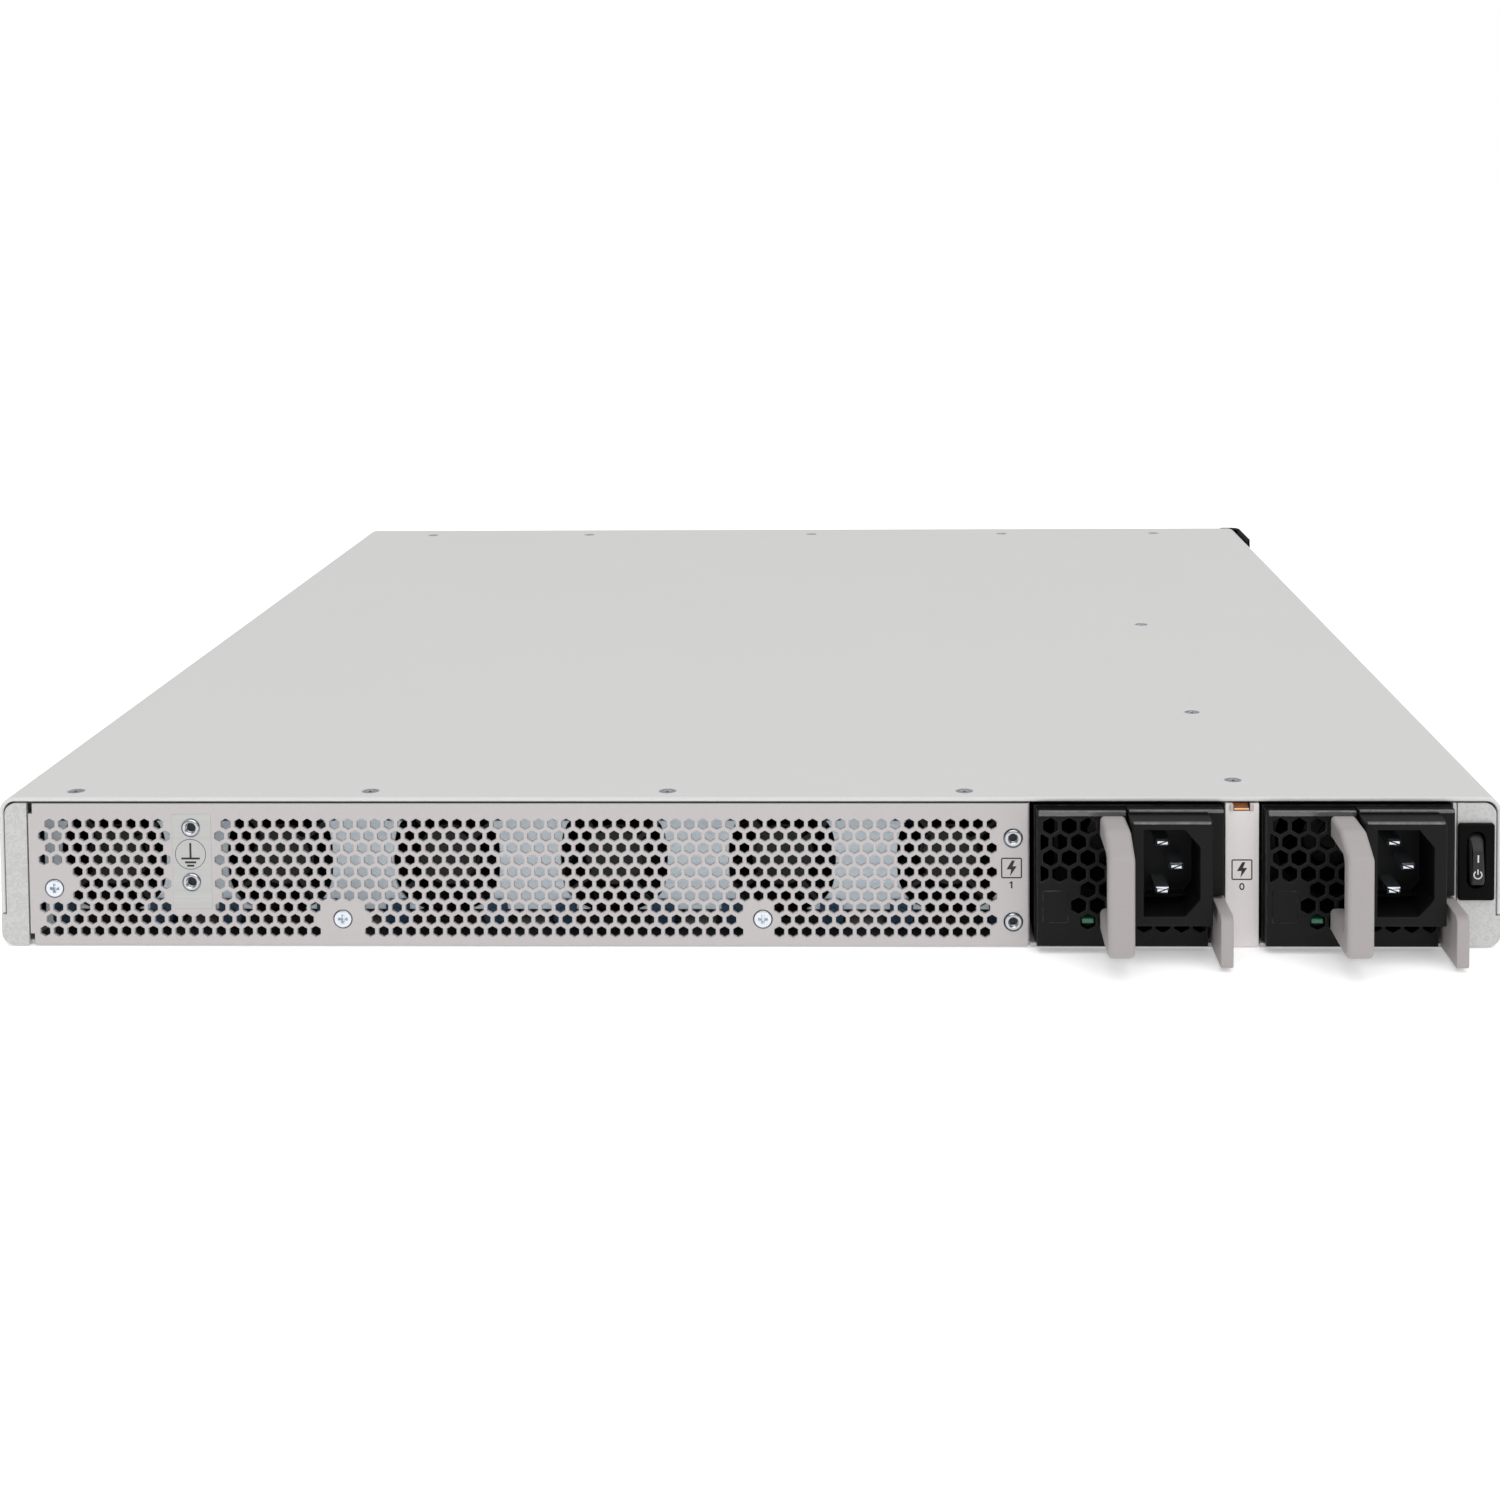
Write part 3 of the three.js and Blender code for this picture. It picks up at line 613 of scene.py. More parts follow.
@dataclass(frozen=True)
class Finish:
    """One surface finish. Colours are linear red, green and blue."""

    name: str
    colour: Point3
    roughness: float = 0.5
    metallic: float = 0.0
    specular: float = 0.5
    contrast: float = 0.06
    grain: float = 1500.0
    drift: float = 18.0
    cloud: float = 0.3
    speck: float = 1.0
    bump: float = 0.05
    bump_depth: float = 0.00002
    edge_radius: float = 0.0003
    # Edge colour and its amount: real wear on most finishes, a painted highlight on the glossy lips.
    wear: float = 0.2
    wear_colour: Point3 = (0.6, 0.6, 0.6)
    dust: float = 0.1
    dust_colour: Point3 = (0.55, 0.53, 0.5)
    rough_span: float = 0.12
    spangled: bool = False
    drawn: bool = False
    coat: float = 0.0
    glow: float = 0.0

    def build(self, effects: Effects) -> bpy.types.Material:
        """Makes the material from the shared effect groups.

        Args:
            effects: the shared groups.

        Returns:
            The material.
        """
        made = bpy.data.materials.new(self.name)
        made.use_nodes = True
        made.diffuse_color = (*self.colour, 1.0)
        tree = made.node_tree
        tree.nodes.clear()
        nodes = Nodes(tree)
        edges = nodes.add("ShaderNodeGroup", node_tree=effects.edges)
        edges.inputs["Radius"].default_value = self.edge_radius
        edges.inputs["Wear"].default_value = self.wear
        shade, height = self.surface(nodes, effects)
        dark = (*[c * (1 - self.contrast) for c in self.colour], 1.0)
        light = (*[min(1.0, c * (1 + self.contrast)) for c in self.colour], 1.0)
        tint = nodes.mix(nodes.span(shade, 0.25, 0.75, 0.0, 1.0), dark, light)
        # The edge mask lays the edge colour: rubbed paint on most finishes, a painted highlight on the
        # lips.
        worn_and_highlit = nodes.mix(edges.outputs["Mask"], tint, (*self.wear_colour, 1.0))
        film = nodes.add("ShaderNodeGroup", node_tree=effects.film)
        film.inputs["Amount"].default_value = self.dust
        dusty = nodes.mix(film.outputs["Mask"], worn_and_highlit, (*self.dust_colour, 1.0))
        low = max(0.03, self.roughness - self.rough_span / 2)
        rough = nodes.span(shade, 0.2, 0.8, low, self.roughness + self.rough_span / 2)
        dull = nodes.math("ADD", rough, nodes.math("MULTIPLY", film.outputs["Mask"], 0.3), clamp=True)
        bump = nodes.add(
            "ShaderNodeBump",
            {
                "Strength": self.bump,
                "Distance": self.bump_depth,
                "Height": height,
                "Normal": edges.outputs["Normal"],
            },
        )
        shader = nodes.add(
            "ShaderNodeBsdfPrincipled",
            {"Base Color": dusty, "Roughness": dull, "Normal": bump.outputs[0]},
        )
        shader.inputs["Metallic"].default_value = self.metallic
        shader.inputs["Specular IOR Level"].default_value = self.specular
        shader.inputs["Coat Weight"].default_value = self.coat
        if self.glow > 0:
            tree.links.new(dusty, shader.inputs["Emission Color"])
            shader.inputs["Emission Strength"].default_value = self.glow
        nodes.add("ShaderNodeOutputMaterial", {"Surface": shader.outputs[0]})
        return made

    def surface(self, nodes: Nodes, effects: Effects) -> tuple[bpy.types.NodeSocket, bpy.types.NodeSocket]:
        """Adds the grain that gives the finish its tone and relief.

        Args:
            nodes: the material's nodes.
            effects: the shared groups.

        Returns:
            The sockets for shade and for height.
        """
        grain = nodes.add("ShaderNodeGroup", node_tree=effects.grain)
        grain.inputs["Scale"].default_value = self.grain
        grain.inputs["Drift"].default_value = self.drift
        grain.inputs["Cloud"].default_value = self.cloud
        grain.inputs["Speck"].default_value = self.speck
        height = grain.outputs["Height"]
        if self.spangled:
            flakes = nodes.add("ShaderNodeGroup", node_tree=effects.spangle)
            flakes.inputs["Scale"].default_value = self.grain
            return flakes.outputs["Shade"], height
        if self.drawn:
            lines = nodes.add("ShaderNodeGroup", node_tree=effects.lines)
            lines.inputs["Scale"].default_value = self.grain
            return lines.outputs["Shade"], lines.outputs["Shade"]
        return grain.outputs["Shade"], height


def dark(name: str, colour: Point3, roughness: float, **more: object) -> Finish:
    """A black finish, whose worn edges and dust stay dark.

    Args:
        name: name of the finish.
        colour: its colour.
        roughness: its mean roughness.
        **more: fields of the finish that differ from those of a common black moulding.

    Returns:
        The finish.
    """
    common = {
        "contrast": 0.15,
        "grain": 2600,
        "bump": 0.25,
        "wear_colour": (0.08, 0.08, 0.085),
        "dust": 0.02,
        "dust_colour": (0.1, 0.1, 0.1),
    }
    return Finish(name, colour, roughness, **{**common, **more})


FINISHES: dict[str, Finish] = {
    f.name: f
    for f in (
        Finish("cover_paint", (0.61, 0.61, 0.605), 0.55, contrast=0.035, grain=1700, cloud=0.1, bump=0.35,
               bump_depth=0.00004, wear=0.5, wear_colour=(0.42, 0.41, 0.40), dust=0.02),
        Finish("panel_paint", (0.465, 0.440, 0.442), 0.5, contrast=0.03, grain=1700, bump=0.25,
               bump_depth=0.00003, wear=0.4, wear_colour=(0.8, 0.78, 0.77), dust=0.04, edge_radius=0.0002),
        Finish("post_paint", (0.72, 0.685, 0.68), 0.5, contrast=0.03, grain=1700, bump=0.25,
               bump_depth=0.00003, wear=0.3, wear_colour=(0.82, 0.8, 0.79), dust=0.03, edge_radius=0.0002),
        Finish("galvanised", (0.50, 0.50, 0.494), 0.48, metallic=0.3, contrast=0.08, grain=900,
               spangled=True, wear=0.5, wear_colour=(0.8, 0.8, 0.8), dust=0.05, rough_span=0.2),
        # The bulkhead sits in shade behind the perforation; the glow of this finish paints light onto it,
        # though it is no lamp.
        Finish("bulkhead_steel_painted_glow", (0.80, 0.89, 0.99), 0.5, glow=0.14, contrast=0.08, grain=700,
               drawn=True, dust=0.05),
        Finish("bare_patch", (0.455, 0.455, 0.45), 0.4, metallic=0.3, grain=1200, drawn=True, dust=0.03),
        Finish("zinc", (0.66, 0.70, 0.75), 0.22, metallic=0.95, grain=2200, wear_colour=(0.9, 0.9, 0.9),
               dust=0.05, edge_radius=0.0001),
        Finish("bush_steel", (0.50, 0.525, 0.555), 0.16, metallic=0.95, contrast=0.05, grain=2200, wear=0.1,
               wear_colour=(0.9, 0.9, 0.9), dust=0.02, edge_radius=0.0001),
        Finish("screw_steel", (0.40, 0.42, 0.45), 0.3, metallic=0.9, contrast=0.1, grain=2200, wear=0.3,
               wear_colour=(0.75, 0.77, 0.8), dust=0.05, edge_radius=0.0001),
        Finish("copper", (0.80, 0.42, 0.22), 0.3, metallic=0.9, contrast=0.1, drawn=True,
               wear_colour=(0.9, 0.6, 0.4), edge_radius=0.0001),
        Finish("gold_contact", (0.75, 0.52, 0.22), 0.25, metallic=0.95, contrast=0.08, grain=2500),
        Finish("aluminium", (0.55, 0.57, 0.59), 0.35, metallic=0.9, grain=1800, drawn=True),
        Finish("port_shield", (0.55, 0.57, 0.58), 0.3, metallic=0.9, drawn=True, dust=0.03),
        # Glossy black of the folded lips; its light grey edge colour is a painted highlight along their top
        # edges.
        Finish("lip_gloss_and_painted_highlight", (0.05, 0.05, 0.051), 0.14, specular=1.0, contrast=0.3, bump=0.5,
               wear=0.9, wear_colour=(0.55, 0.55, 0.56), dust=0.0),
        Finish("handle_grey", (0.345, 0.322, 0.318), 0.5, specular=0.4, contrast=0.035, grain=2600,
               bump=0.3, wear=0.25, wear_colour=(0.5, 0.48, 0.47), dust=0.03),
        dark("psu_black", (0.006, 0.006, 0.0063), 0.42, specular=0.13, grain=2200, wear=0.7,
             wear_colour=(0.16, 0.16, 0.165)),
        dark("inlet_plastic", (0.004, 0.0042, 0.0045), 0.5, specular=0.16, grain=3000, bump=0.3, wear=0.25,
             dust=0.015),
        dark("black_plastic", (0.0035, 0.0035, 0.0037), 0.5, specular=0.04, wear=0.25),
        dark("rocker_black", (0.014, 0.014, 0.015), 0.4, specular=0.3, wear=0.3),
        dark("fan_plastic", (0.014, 0.0145, 0.015), 0.38, specular=0.45, bump=0.05, dust=0.06,
             dust_colour=(0.12, 0.12, 0.12)),
        Finish("board", (0.012, 0.07, 0.035), 0.4, contrast=0.2, grain=900, coat=0.2),
        Finish("socket_plastic", (0.012, 0.012, 0.014), 0.5, contrast=0.15, grain=2500, bump=0.2),
        Finish("blue_rubber", (0.02, 0.075, 0.15), 0.55, contrast=0.12, grain=2000, bump=0.2),
        Finish("green_lens", (0.0, 0.085, 0.035), 0.25, contrast=0.3, grain=900, coat=0.5, glow=0.15,
               dust=0.0, wear=0.0),
        Finish("amber_lens", (0.30, 0.16, 0.03), 0.3, contrast=0.2, grain=900, coat=0.5, dust=0.0,
               wear=0.0),
        # Black for printed signs, and for the strip, sheet and discs that paint shade in the cover gap, the
        # tray and the bores.
        Finish("ink_and_shade_black", (0.012, 0.012, 0.013), 0.6, contrast=0.2, grain=4000, wear=0.0, dust=0.0),
        Finish("ink_white", (0.72, 0.72, 0.72), 0.6, grain=4000, wear=0.0, dust=0.0),
    )
}


class Paintbox:
    """Makes each material once and puts it on pieces."""

    def __init__(self) -> None:
        """Builds the shared effects and every finish."""
        effects = Effects()
        self.materials = {name: f.build(effects) for name, f in FINISHES.items()}

    def coat(self, piece: bpy.types.Object, finish: str) -> bpy.types.Object:
        """Gives a piece one finish."""
        piece.data.materials.clear()
        piece.data.materials.append(self.materials[finish])
        return piece


@dataclass
class Assembly:
    """Base of the sub-assemblies: hands out materials and places pieces on their bodies."""

    paint: Paintbox

    def keep(
        self,
        piece: bpy.types.Object,
        body: str,
        slot: Slot,
        finish: str = "",
        replaces: Sequence[str] = (),
    ) -> bpy.types.Object:
        """Finishes a piece and lets it ride.

        Args:
            piece: the new object.
            body: CAD body that it moves with.
            slot: slot of the record that its finish belongs to.
            finish: name of the finish, the slot's own where empty.
            replaces: CAD nodes that it stands for.

        Returns:
            The piece.
        """
        self.paint.coat(piece, finish or slot.value)
        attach(piece, body)
        if replaces:
            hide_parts(*replaces)
        LOG.info("%s rides on %s", piece.name, body)
        return piece

    def dress(self, nodes: Iterable[str], finish: str) -> None:
        """Gives CAD nodes that stay in view a finish."""
        for name in nodes:
            self.paint.coat(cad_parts[name], finish)
            LOG.info("%s keeps its CAD shape", name)


# ---------------------------------------------------------------- shared shapes


def cross(cu: float, cv: float, arm: float, half: float) -> list[Point2]:
    """Outline of a cross recess, counter-clockwise.

    Args:
        cu: centre, first coordinate.
        cv: centre, second coordinate.
        arm: length of each arm from the centre.
        half: half the width of an arm.

    Returns:
        The points in order.
    """
    quarter = [(arm, -half), (arm, half), (half, half)]
    made = []
    for turn in range(4):
        c, s = round(math.cos(turn * math.pi / 2)), round(math.sin(turn * math.pi / 2))
        made += [(cu + u * c - v * s, cv + u * s + v * c) for u, v in quarter]
    return made


def clipped(outline: Sequence[Point2], u0: float, u1: float, v0: float, v1: float) -> list[Point2]:
    """Cuts a convex outline to a rectangle.

    Args:
        outline: the outline.
        u0: lowest first coordinate.
        u1: highest first coordinate.
        v0: lowest second coordinate.
        v1: highest second coordinate.

    Returns:
        The part inside, empty where there is none.
    """
    points = [Vector(p) for p in outline]
    for index, limit, sign in ((0, u0, 1), (0, u1, -1), (1, v0, 1), (1, v1, -1)):
        kept = []
        for i, here in enumerate(points):
            last = points[i - 1]
            a, b = sign * (last[index] - limit), sign * (here[index] - limit)
            if (a < 0) != (b < 0):
                kept.append(last.lerp(here, a / (a - b)))
            if b >= 0:
                kept.append(here)
        points = kept
    return [(p.x, p.y) for p in points]


def honeycomb(
    area: Span4,
    start: Point2,
    pitch: float,
    row: float,
    flats: float,
    least: float,
) -> list[list[Point2]]:
    """Hexagons in staggered rows that fill an area.

    Args:
        area: lowest and highest u, then lowest and highest v.
        start: centre of one hexagon of an even row, the top one.
        pitch: distance between centres in a row.
        row: distance between rows, downwards from the start.
        flats: width of a hexagon across flats.
        least: smallest share of a hexagon that is kept where the area cuts it.

    Returns:
        The outlines.
    """
    u0, u1, v0, v1 = area
    full = 2 * math.sqrt(3) * (flats / 2) ** 2
    made = []
    for j in range(int((start[1] - v0) / row) + 2):
        for k in range(-2, int((u1 - u0) / pitch) + 3):
            centre = (start[0] + pitch * (k + 0.5 * (j % 2)), start[1] - row * j)
            cell = clipped(hexagon(*centre, flats), u0, u1, v0, v1)
            if len(cell) > 2 and shape_area(cell) > least * full:
                made.append(cell)
    return made


def shape_area(outline: Sequence[Point2]) -> float:
    """Area of an outline, positive where it runs counter-clockwise."""
    pairs = zip(outline, [*outline[1:], outline[0]])
    return sum(a[0] * b[1] - a[1] * b[0] for a, b in pairs) / 2


def cross_head(
    build: MeshBuilder, u: float, v: float, axis: Axis, top: float, down: float, radius: float
) -> None:
    """Adds a flat screw head with a cross recess.

    Args:
        build: the builder to add to.
        u: centre, first outline coordinate.
        v: centre, second outline coordinate.
        axis: the screw's axis.
        top: place of the head's face along the axis.
        down: +1 or -1, the way from the face into the part.
        radius: radius of the head.
    """
    depth = 0.45 * radius
    rim = circle(u, v, radius, 28)
    recess = cross(u, v, 0.5 * radius, 0.12 * radius)
    low, high = sorted((top, top + down * depth))
    soft = (0.12 * radius, 0.0) if down > 0 else (0.0, 0.12 * radius)
    build.slab(rim, [recess], axis, low, high, *soft)
    floor = sorted((top + down * depth, top + down * 2.2 * radius))
    build.slab(circle(u, v, 0.62 * radius, 20), [], axis, *floor)


# ---------------------------------------------------------------- folded case


@dataclass
class Case(Assembly):
    """Cover, rear panel and the fittings that are pressed or screwed into them."""

    sheet: float = 1.2 * MM
    bend: float = 4.5 * MM
    edge: float = 0.28 * MM
    steps: int = 10
    cap_gap: float = 0.6 * MM
    screw_hole: float = 2.8 * MM
    screw_head: float = 2.55 * MM
    screw_seat: Point2 = (1.7 * MM, 1.0 * MM)
    screw_sink: float = 0.08 * MM
    rear_screws: tuple[float, ...] = (-199.6, -111.5, -23.2, 64.5)
    middle_screws: tuple[Point2, ...] = ((145.2, 18.4), (144.7, 98.2), (144.6, 236.1))
    front_screws: tuple[float, ...] = (-184.1, -105.4, 6.1, 101.1, 176.7)
    rear_screw_inset: float = 7.2
    front_screw_inset: float = 449.0
    panel_screw_count: int = 3
    panel_screw_head: float = 2.6 * MM
    fitting_hole: float = 2.85 * MM
    bores: tuple[tuple[str, float], ...] = (
        ("ground_bush_0", 1.45),
        ("ground_bush_1", 1.45),
        ("panel_insert_0", 1.3),
        ("panel_insert_1", 1.3),
    )
    relief: Point2 = (3.5 * MM, 39.3 * MM)
    vent_start: Point2 = (-205.13 * MM, 36.25 * MM)
    vent_pitch: float = 4.019 * MM
    vent_row: float = 3.56 * MM
    vent_flats: float = 2.9 * MM
    vent_rows: int = 10
    vent_end: float = 74.0 * MM
    screw_discs: tuple[Point3, ...] = ((-118.7, 7.9, 6.9), (4.0, 8.0, 6.1))
    disc_squash: float = 0.97
    corner_clear: Point2 = (6.0 * MM, 5.6 * MM)
    patch: Span4 = (-168.8 * MM, -157.2 * MM, 11.0 * MM, 39.3 * MM)
    patch_clear: float = 1.2 * MM
    patch_rows: int = 8
    earth_sign: Point2 = (-163.4 * MM, 27.3 * MM)
    earth_bars: tuple[Point3, ...] = ((2.75, 0.29, -1.25), (1.65, 0.29, -2.4), (1.05, 0.29, -3.4))
    signs: tuple[tuple[float, float, int], ...] = ((144.9, 22.9, 0), (77.9, 23.35, 1))
    sign_drop: float = 5.0 * MM
    bolt: tuple[Point2, ...] = (
        (1.0, 2.2), (0.25, 0.5), (1.5, 0.5), (-0.45, -2.4), (-0.1, -0.4), (-1.45, -0.4), (0.1, 2.2),
    )
    figure_one: tuple[Point2, ...] = (
        (-0.2, -1.05), (0.26, -1.05), (0.26, 1.05), (-0.1, 1.05), (-0.66, 0.6), (-0.5, 0.32), (-0.2, 0.5),
    )

    def build(self) -> None:
        """Builds every piece of the case."""
        self.cover()
        self.cover_screws()
        self.rear_panel()
        self.panel_screws()
        self.ground_patch()
        self.bushes()
        self.slot_signs()
        self.post_top()
        self.gasket()
        self.tray_shade_sheet()
        self.corner_cap()
        self.dress(["bay_divider"], "post_paint")

    def gasket(self) -> None:
        """Black strip in the gap between the rear panel and the cover: painted shade that makes the gap
        read as one continuous dark line.
        """
        low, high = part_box("rear_panel")
        build = MeshBuilder()
        strip = rounded_rect(low.x - 0.5 * MM, high.x, high.z + 0.03 * MM, high.z + 0.55 * MM, 0.12 * MM)
        build.slab(strip, [], Axis.Y, low.y + 0.25 * MM, high.y, 0.1 * MM, 0.0)
        self.keep(build.make("cover_gap_shade"), Body.CHASSIS, Slot.BLACK, "ink_and_shade_black")

    def tray_shade_sheet(self) -> None:
        """Black sheet on the tray behind the rear panel, with a notch at each end: painted shade for the
        dark tray that the lowest vents look into.
        """
        low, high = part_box("rear_panel")
        x0, x1 = low.x, high.x - 2 * MM
        near, far, notch = high.y + 0.4 * MM, high.y + 10.5 * MM, 2.5 * MM
        film = [
            (x0 + notch, near), (x1 - notch, near), (x1 - notch, near + notch), (x1, near + notch),
            (x1, far), (x0, far), (x0, near + notch), (x0 + notch, near + notch),
        ]
        build = MeshBuilder()
        build.slab(film, [], Axis.Z, 1.25 * MM, 1.45 * MM)
        self.keep(build.make("tray_shade_sheet"), Body.CHASSIS, Slot.BLACK, "ink_and_shade_black")

    def screw_places(self) -> list[Point2]:
        """Centres of the cover screws."""
        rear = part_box("top_cover")[0].y
        places = [(x * MM, rear + self.rear_screw_inset * MM) for x in self.rear_screws]
        places += [(x * MM, rear + y * MM) for x, y in self.middle_screws]
        places += [(x * MM, rear + self.front_screw_inset * MM) for x in self.front_screws]
        return places

    def section(self, low: Vector, high: Vector) -> list[Point2]:
        """The cover's section in X and Z, counter-clockwise from the foot of the +X side."""
        inner = self.bend - self.sheet
        right, left = high.x - self.bend, low.x + self.bend
        level = high.z - self.bend
        made = [(high.x, low.z)]
        made += arc(right, level, self.bend, 0, 90, self.steps)
        made += arc(left, level, self.bend, 90, 180, self.steps)
        made += [(low.x, low.z), (low.x + self.sheet, low.z)]
        made += arc(left, level, inner, 180, 90, self.steps)
        made += arc(right, level, inner, 90, 0, self.steps)
        made += [(high.x - self.sheet, low.z)]
        return made

    def cover(self) -> None:
        """The folded cover with countersunk holes; its +X side stops short of the corner cap."""
        low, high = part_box("top_cover")
        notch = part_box("corner_cap")[0].y - self.cap_gap
        full = self.section(low, high)
        part = full[1:-1]
        build = MeshBuilder()

        def ring(points: Sequence[Point2], inset: float, y: float) -> list[int]:
            """Adds the section at one place along Y."""
            return build.ring((x, y, z) for x, z in (grown(points, -inset) if inset else points))

        e = self.edge
        rear_face, rear_edge = ring(full, e, low.y), ring(full, 0, low.y + e)
        at_notch = ring(full, 0, notch)
        front_edge, front_face = ring(part, 0, high.y - e), ring(part, e, high.y)
        top_edge = self.steps + 1
        build.bridge(rear_face, rear_edge)
        build.bridge(rear_edge, at_notch, skip=top_edge)
        build.bridge(at_notch[1:-1], front_edge, skip=top_edge - 1)
        build.bridge(front_edge, front_face)
        build.cap(rear_face)
        build.cap([at_notch[0], at_notch[1], at_notch[-2], at_notch[-1]])
        build.cap(front_face)
        right, left = high.x - self.bend, low.x + self.bend
        ends = (low.y + e, notch, high.y - e)
        outline = [(right, y) for y in ends] + [(left, y) for y in reversed(ends)]
        holes = [circle(x, y, self.screw_hole, 32) for x, y in self.screw_places()]
        mouths = build.sheet_face(outline, holes, lambda u, v: (u, v, high.z))[1]
        radius, depth = self.screw_seat
        for (x, y), mouth in zip(self.screw_places(), mouths):
            seat = build.ring((u, v, high.z - depth) for u, v in circle(x, y, radius, 32))
            build.bridge(mouth, seat)
            build.cap(seat)
        self.keep(build.make("cover_sheet", smooth=32), Body.CHASSIS, Slot.COVER, replaces=["top_cover"])

    def cover_screws(self) -> None:
        """Flat screws, a little below the face of the cover."""
        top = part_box("top_cover")[1].z - self.screw_sink
        for i, (x, y) in enumerate(self.screw_places()):
            build = MeshBuilder()
            cross_head(build, x, y, Axis.Z, top, -1, self.screw_head)
            self.keep(build.make(f"cover_screw_{i}"), Body.CHASSIS, Slot.ZINC, "screw_steel")

    def vents(self) -> list[list[Point2]]:
        """Perforation of the rear panel, which leaves room for the patch, the screws and the sign."""
        made = []
        columns = int((self.vent_end - self.vent_start[0]) / self.vent_pitch) + 1
        for row in range(self.vent_rows):
            shifted = row % 2
            z = self.vent_start[1] - self.vent_row * row
            for k in range(-shifted, columns):
                x = self.vent_start[0] + self.vent_pitch * (k + 0.5 * shifted)
                if not self.blocked(x, z, row):
                    made.append(hexagon(x, z, self.vent_flats))
        return made

    def blocked(self, x: float, z: float, row: int) -> bool:
        """Tells where the perforation leaves a hole out.

        Args:
            x: centre of the hole along X.
            z: centre of the hole along Z.
            row: number of its row, from the top.

        Returns:
            True where the hole would meet the ground patch, a screw's plain disc or the slot sign.
        """
        left, right, _, _ = self.patch
        at_patch = row < self.patch_rows and left - self.patch_clear < x < right + self.patch_clear
        if at_patch or x > self.vent_end:
            return True
        u, v = self.centre("panel_screw_0")
        if x < u + self.corner_clear[0] and abs(z - v) < self.corner_clear[1]:
            return True
        return any(
            math.hypot((x - u * MM) * self.disc_squash, z - v * MM) < reach * MM
            for u, v, reach in self.screw_discs
        )

    @staticmethod
    def centre(node: str) -> Point2:
        """Middle of a CAD node in X and Z."""
        low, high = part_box(node)
        return ((low.x + high.x) / 2, (low.z + high.z) / 2)

    def rear_panel(self) -> None:
        """Perforated rear panel with small reliefs at its left end."""
        low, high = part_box("rear_panel")
        step, edge = low.x + 0.4 * MM, low.x - 0.8 * MM
        foot, head = self.relief
        outline = [
            (step, low.z), (high.x, low.z), (high.x, high.z), (step, high.z),
            (step, head), (edge, head), (edge, foot), (step, foot),
        ]
        fittings = [f"panel_screw_{i}" for i in range(self.panel_screw_count)]
        fittings += [name for name, _ in self.bores]
        holes = self.vents() + [circle(*self.centre(name), self.fitting_hole, 32) for name in fittings]
        build = MeshBuilder()
        build.slab(outline, holes, Axis.Y, low.y, high.y, 0.16 * MM, 0.0, steps=1)
        piece = build.make("rear_panel_sheet", smooth=25)
        self.keep(piece, Body.CHASSIS, Slot.PANEL, replaces=["rear_panel"])

    def panel_screws(self) -> None:
        """Flat cross-head screws of the rear panel."""
        for i in range(self.panel_screw_count):
            x, z = self.centre(f"panel_screw_{i}")
            low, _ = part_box(f"panel_screw_{i}")
            build = MeshBuilder()
            cross_head(build, x, z, Axis.Y, low.y - 0.02 * MM, 1, self.panel_screw_head)
            piece = build.make(f"rear_screw_{i}")
            self.keep(piece, Body.CHASSIS, Slot.ZINC, replaces=[f"panel_screw_{i}"])

    def ground_patch(self) -> None:
        """Bare patch round the two ground bushes, with the earth sign in a circle."""
        low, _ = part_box("rear_panel")
        bushes = [circle(*self.centre(f"ground_bush_{i}"), 2.75 * MM, 32) for i in range(2)]
        build = MeshBuilder()
        outline = rounded_rect(*self.patch, 0.5 * MM)
        build.slab(outline, bushes, Axis.Y, low.y - 0.04 * MM, low.y + 0.1 * MM)
        self.keep(build.make("ground_patch"), Body.CHASSIS, Slot.GALVANISED, "bare_patch")

        x, z = self.earth_sign
        sign = MeshBuilder()
        near, far = low.y - 0.07 * MM, low.y - 0.03 * MM
        sign.slab(circle(x, z, 4.55 * MM, 48), [circle(x, z, 4.4 * MM, 48)], Axis.Y, near, far)
        sign.slab(self.bar(x, z + 1.05 * MM, 0.29 * MM, 2.3 * MM), [], Axis.Y, near, far)
        for half, thick, down in self.earth_bars:
            sign.slab(self.bar(x, z + down * MM, half * MM, thick * MM), [], Axis.Y, near, far)
        self.keep(sign.make("earth_sign"), Body.CHASSIS, Slot.BLACK, "ink_and_shade_black")

    @staticmethod
    def bar(x: float, z: float, half_wide: float, half_high: float) -> list[Point2]:
        """Outline of a plain bar about its centre."""
        return [
            (x - half_wide, z - half_high), (x + half_wide, z - half_high),
            (x + half_wide, z + half_high), (x - half_wide, z + half_high),
        ]

    def bushes(self) -> None:
        """Threaded bushes and inserts, domed at the rim and open down the middle, each bore darkened by a
        black disc as painted shade.
        """
        length = 2.5 * MM
        for name, bore in self.bores:
            low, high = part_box(name)
            x, z = self.centre(name)
            mouth = (x, low.y, z)
            rim, hole = (high.x - low.x) / 2 - 0.2 * MM, bore * MM
            profile = [(hole, length), (hole, 0.35 * MM), (hole + 0.3 * MM, 0.0), (rim - 0.7 * MM, 0.0)]
            profile += [(rim - 0.25 * MM, 0.12 * MM), (rim, 0.45 * MM), (rim, length)]
            build = MeshBuilder()
            build.lathe([*profile, profile[0]], mouth, Axis.Y, 32)
            for turn in range(3):
                ridge = hole - 0.14 * MM
                y = (0.7 + 0.5 * turn) * MM
                thread = [(hole, y), (ridge, y + 0.12 * MM), (hole, y + 0.24 * MM), (hole, y)]
                build.lathe(thread, mouth, Axis.Y, 32)
            self.keep(build.make(f"{name}_turned"), Body.CHASSIS, Slot.ZINC, "bush_steel", [name])
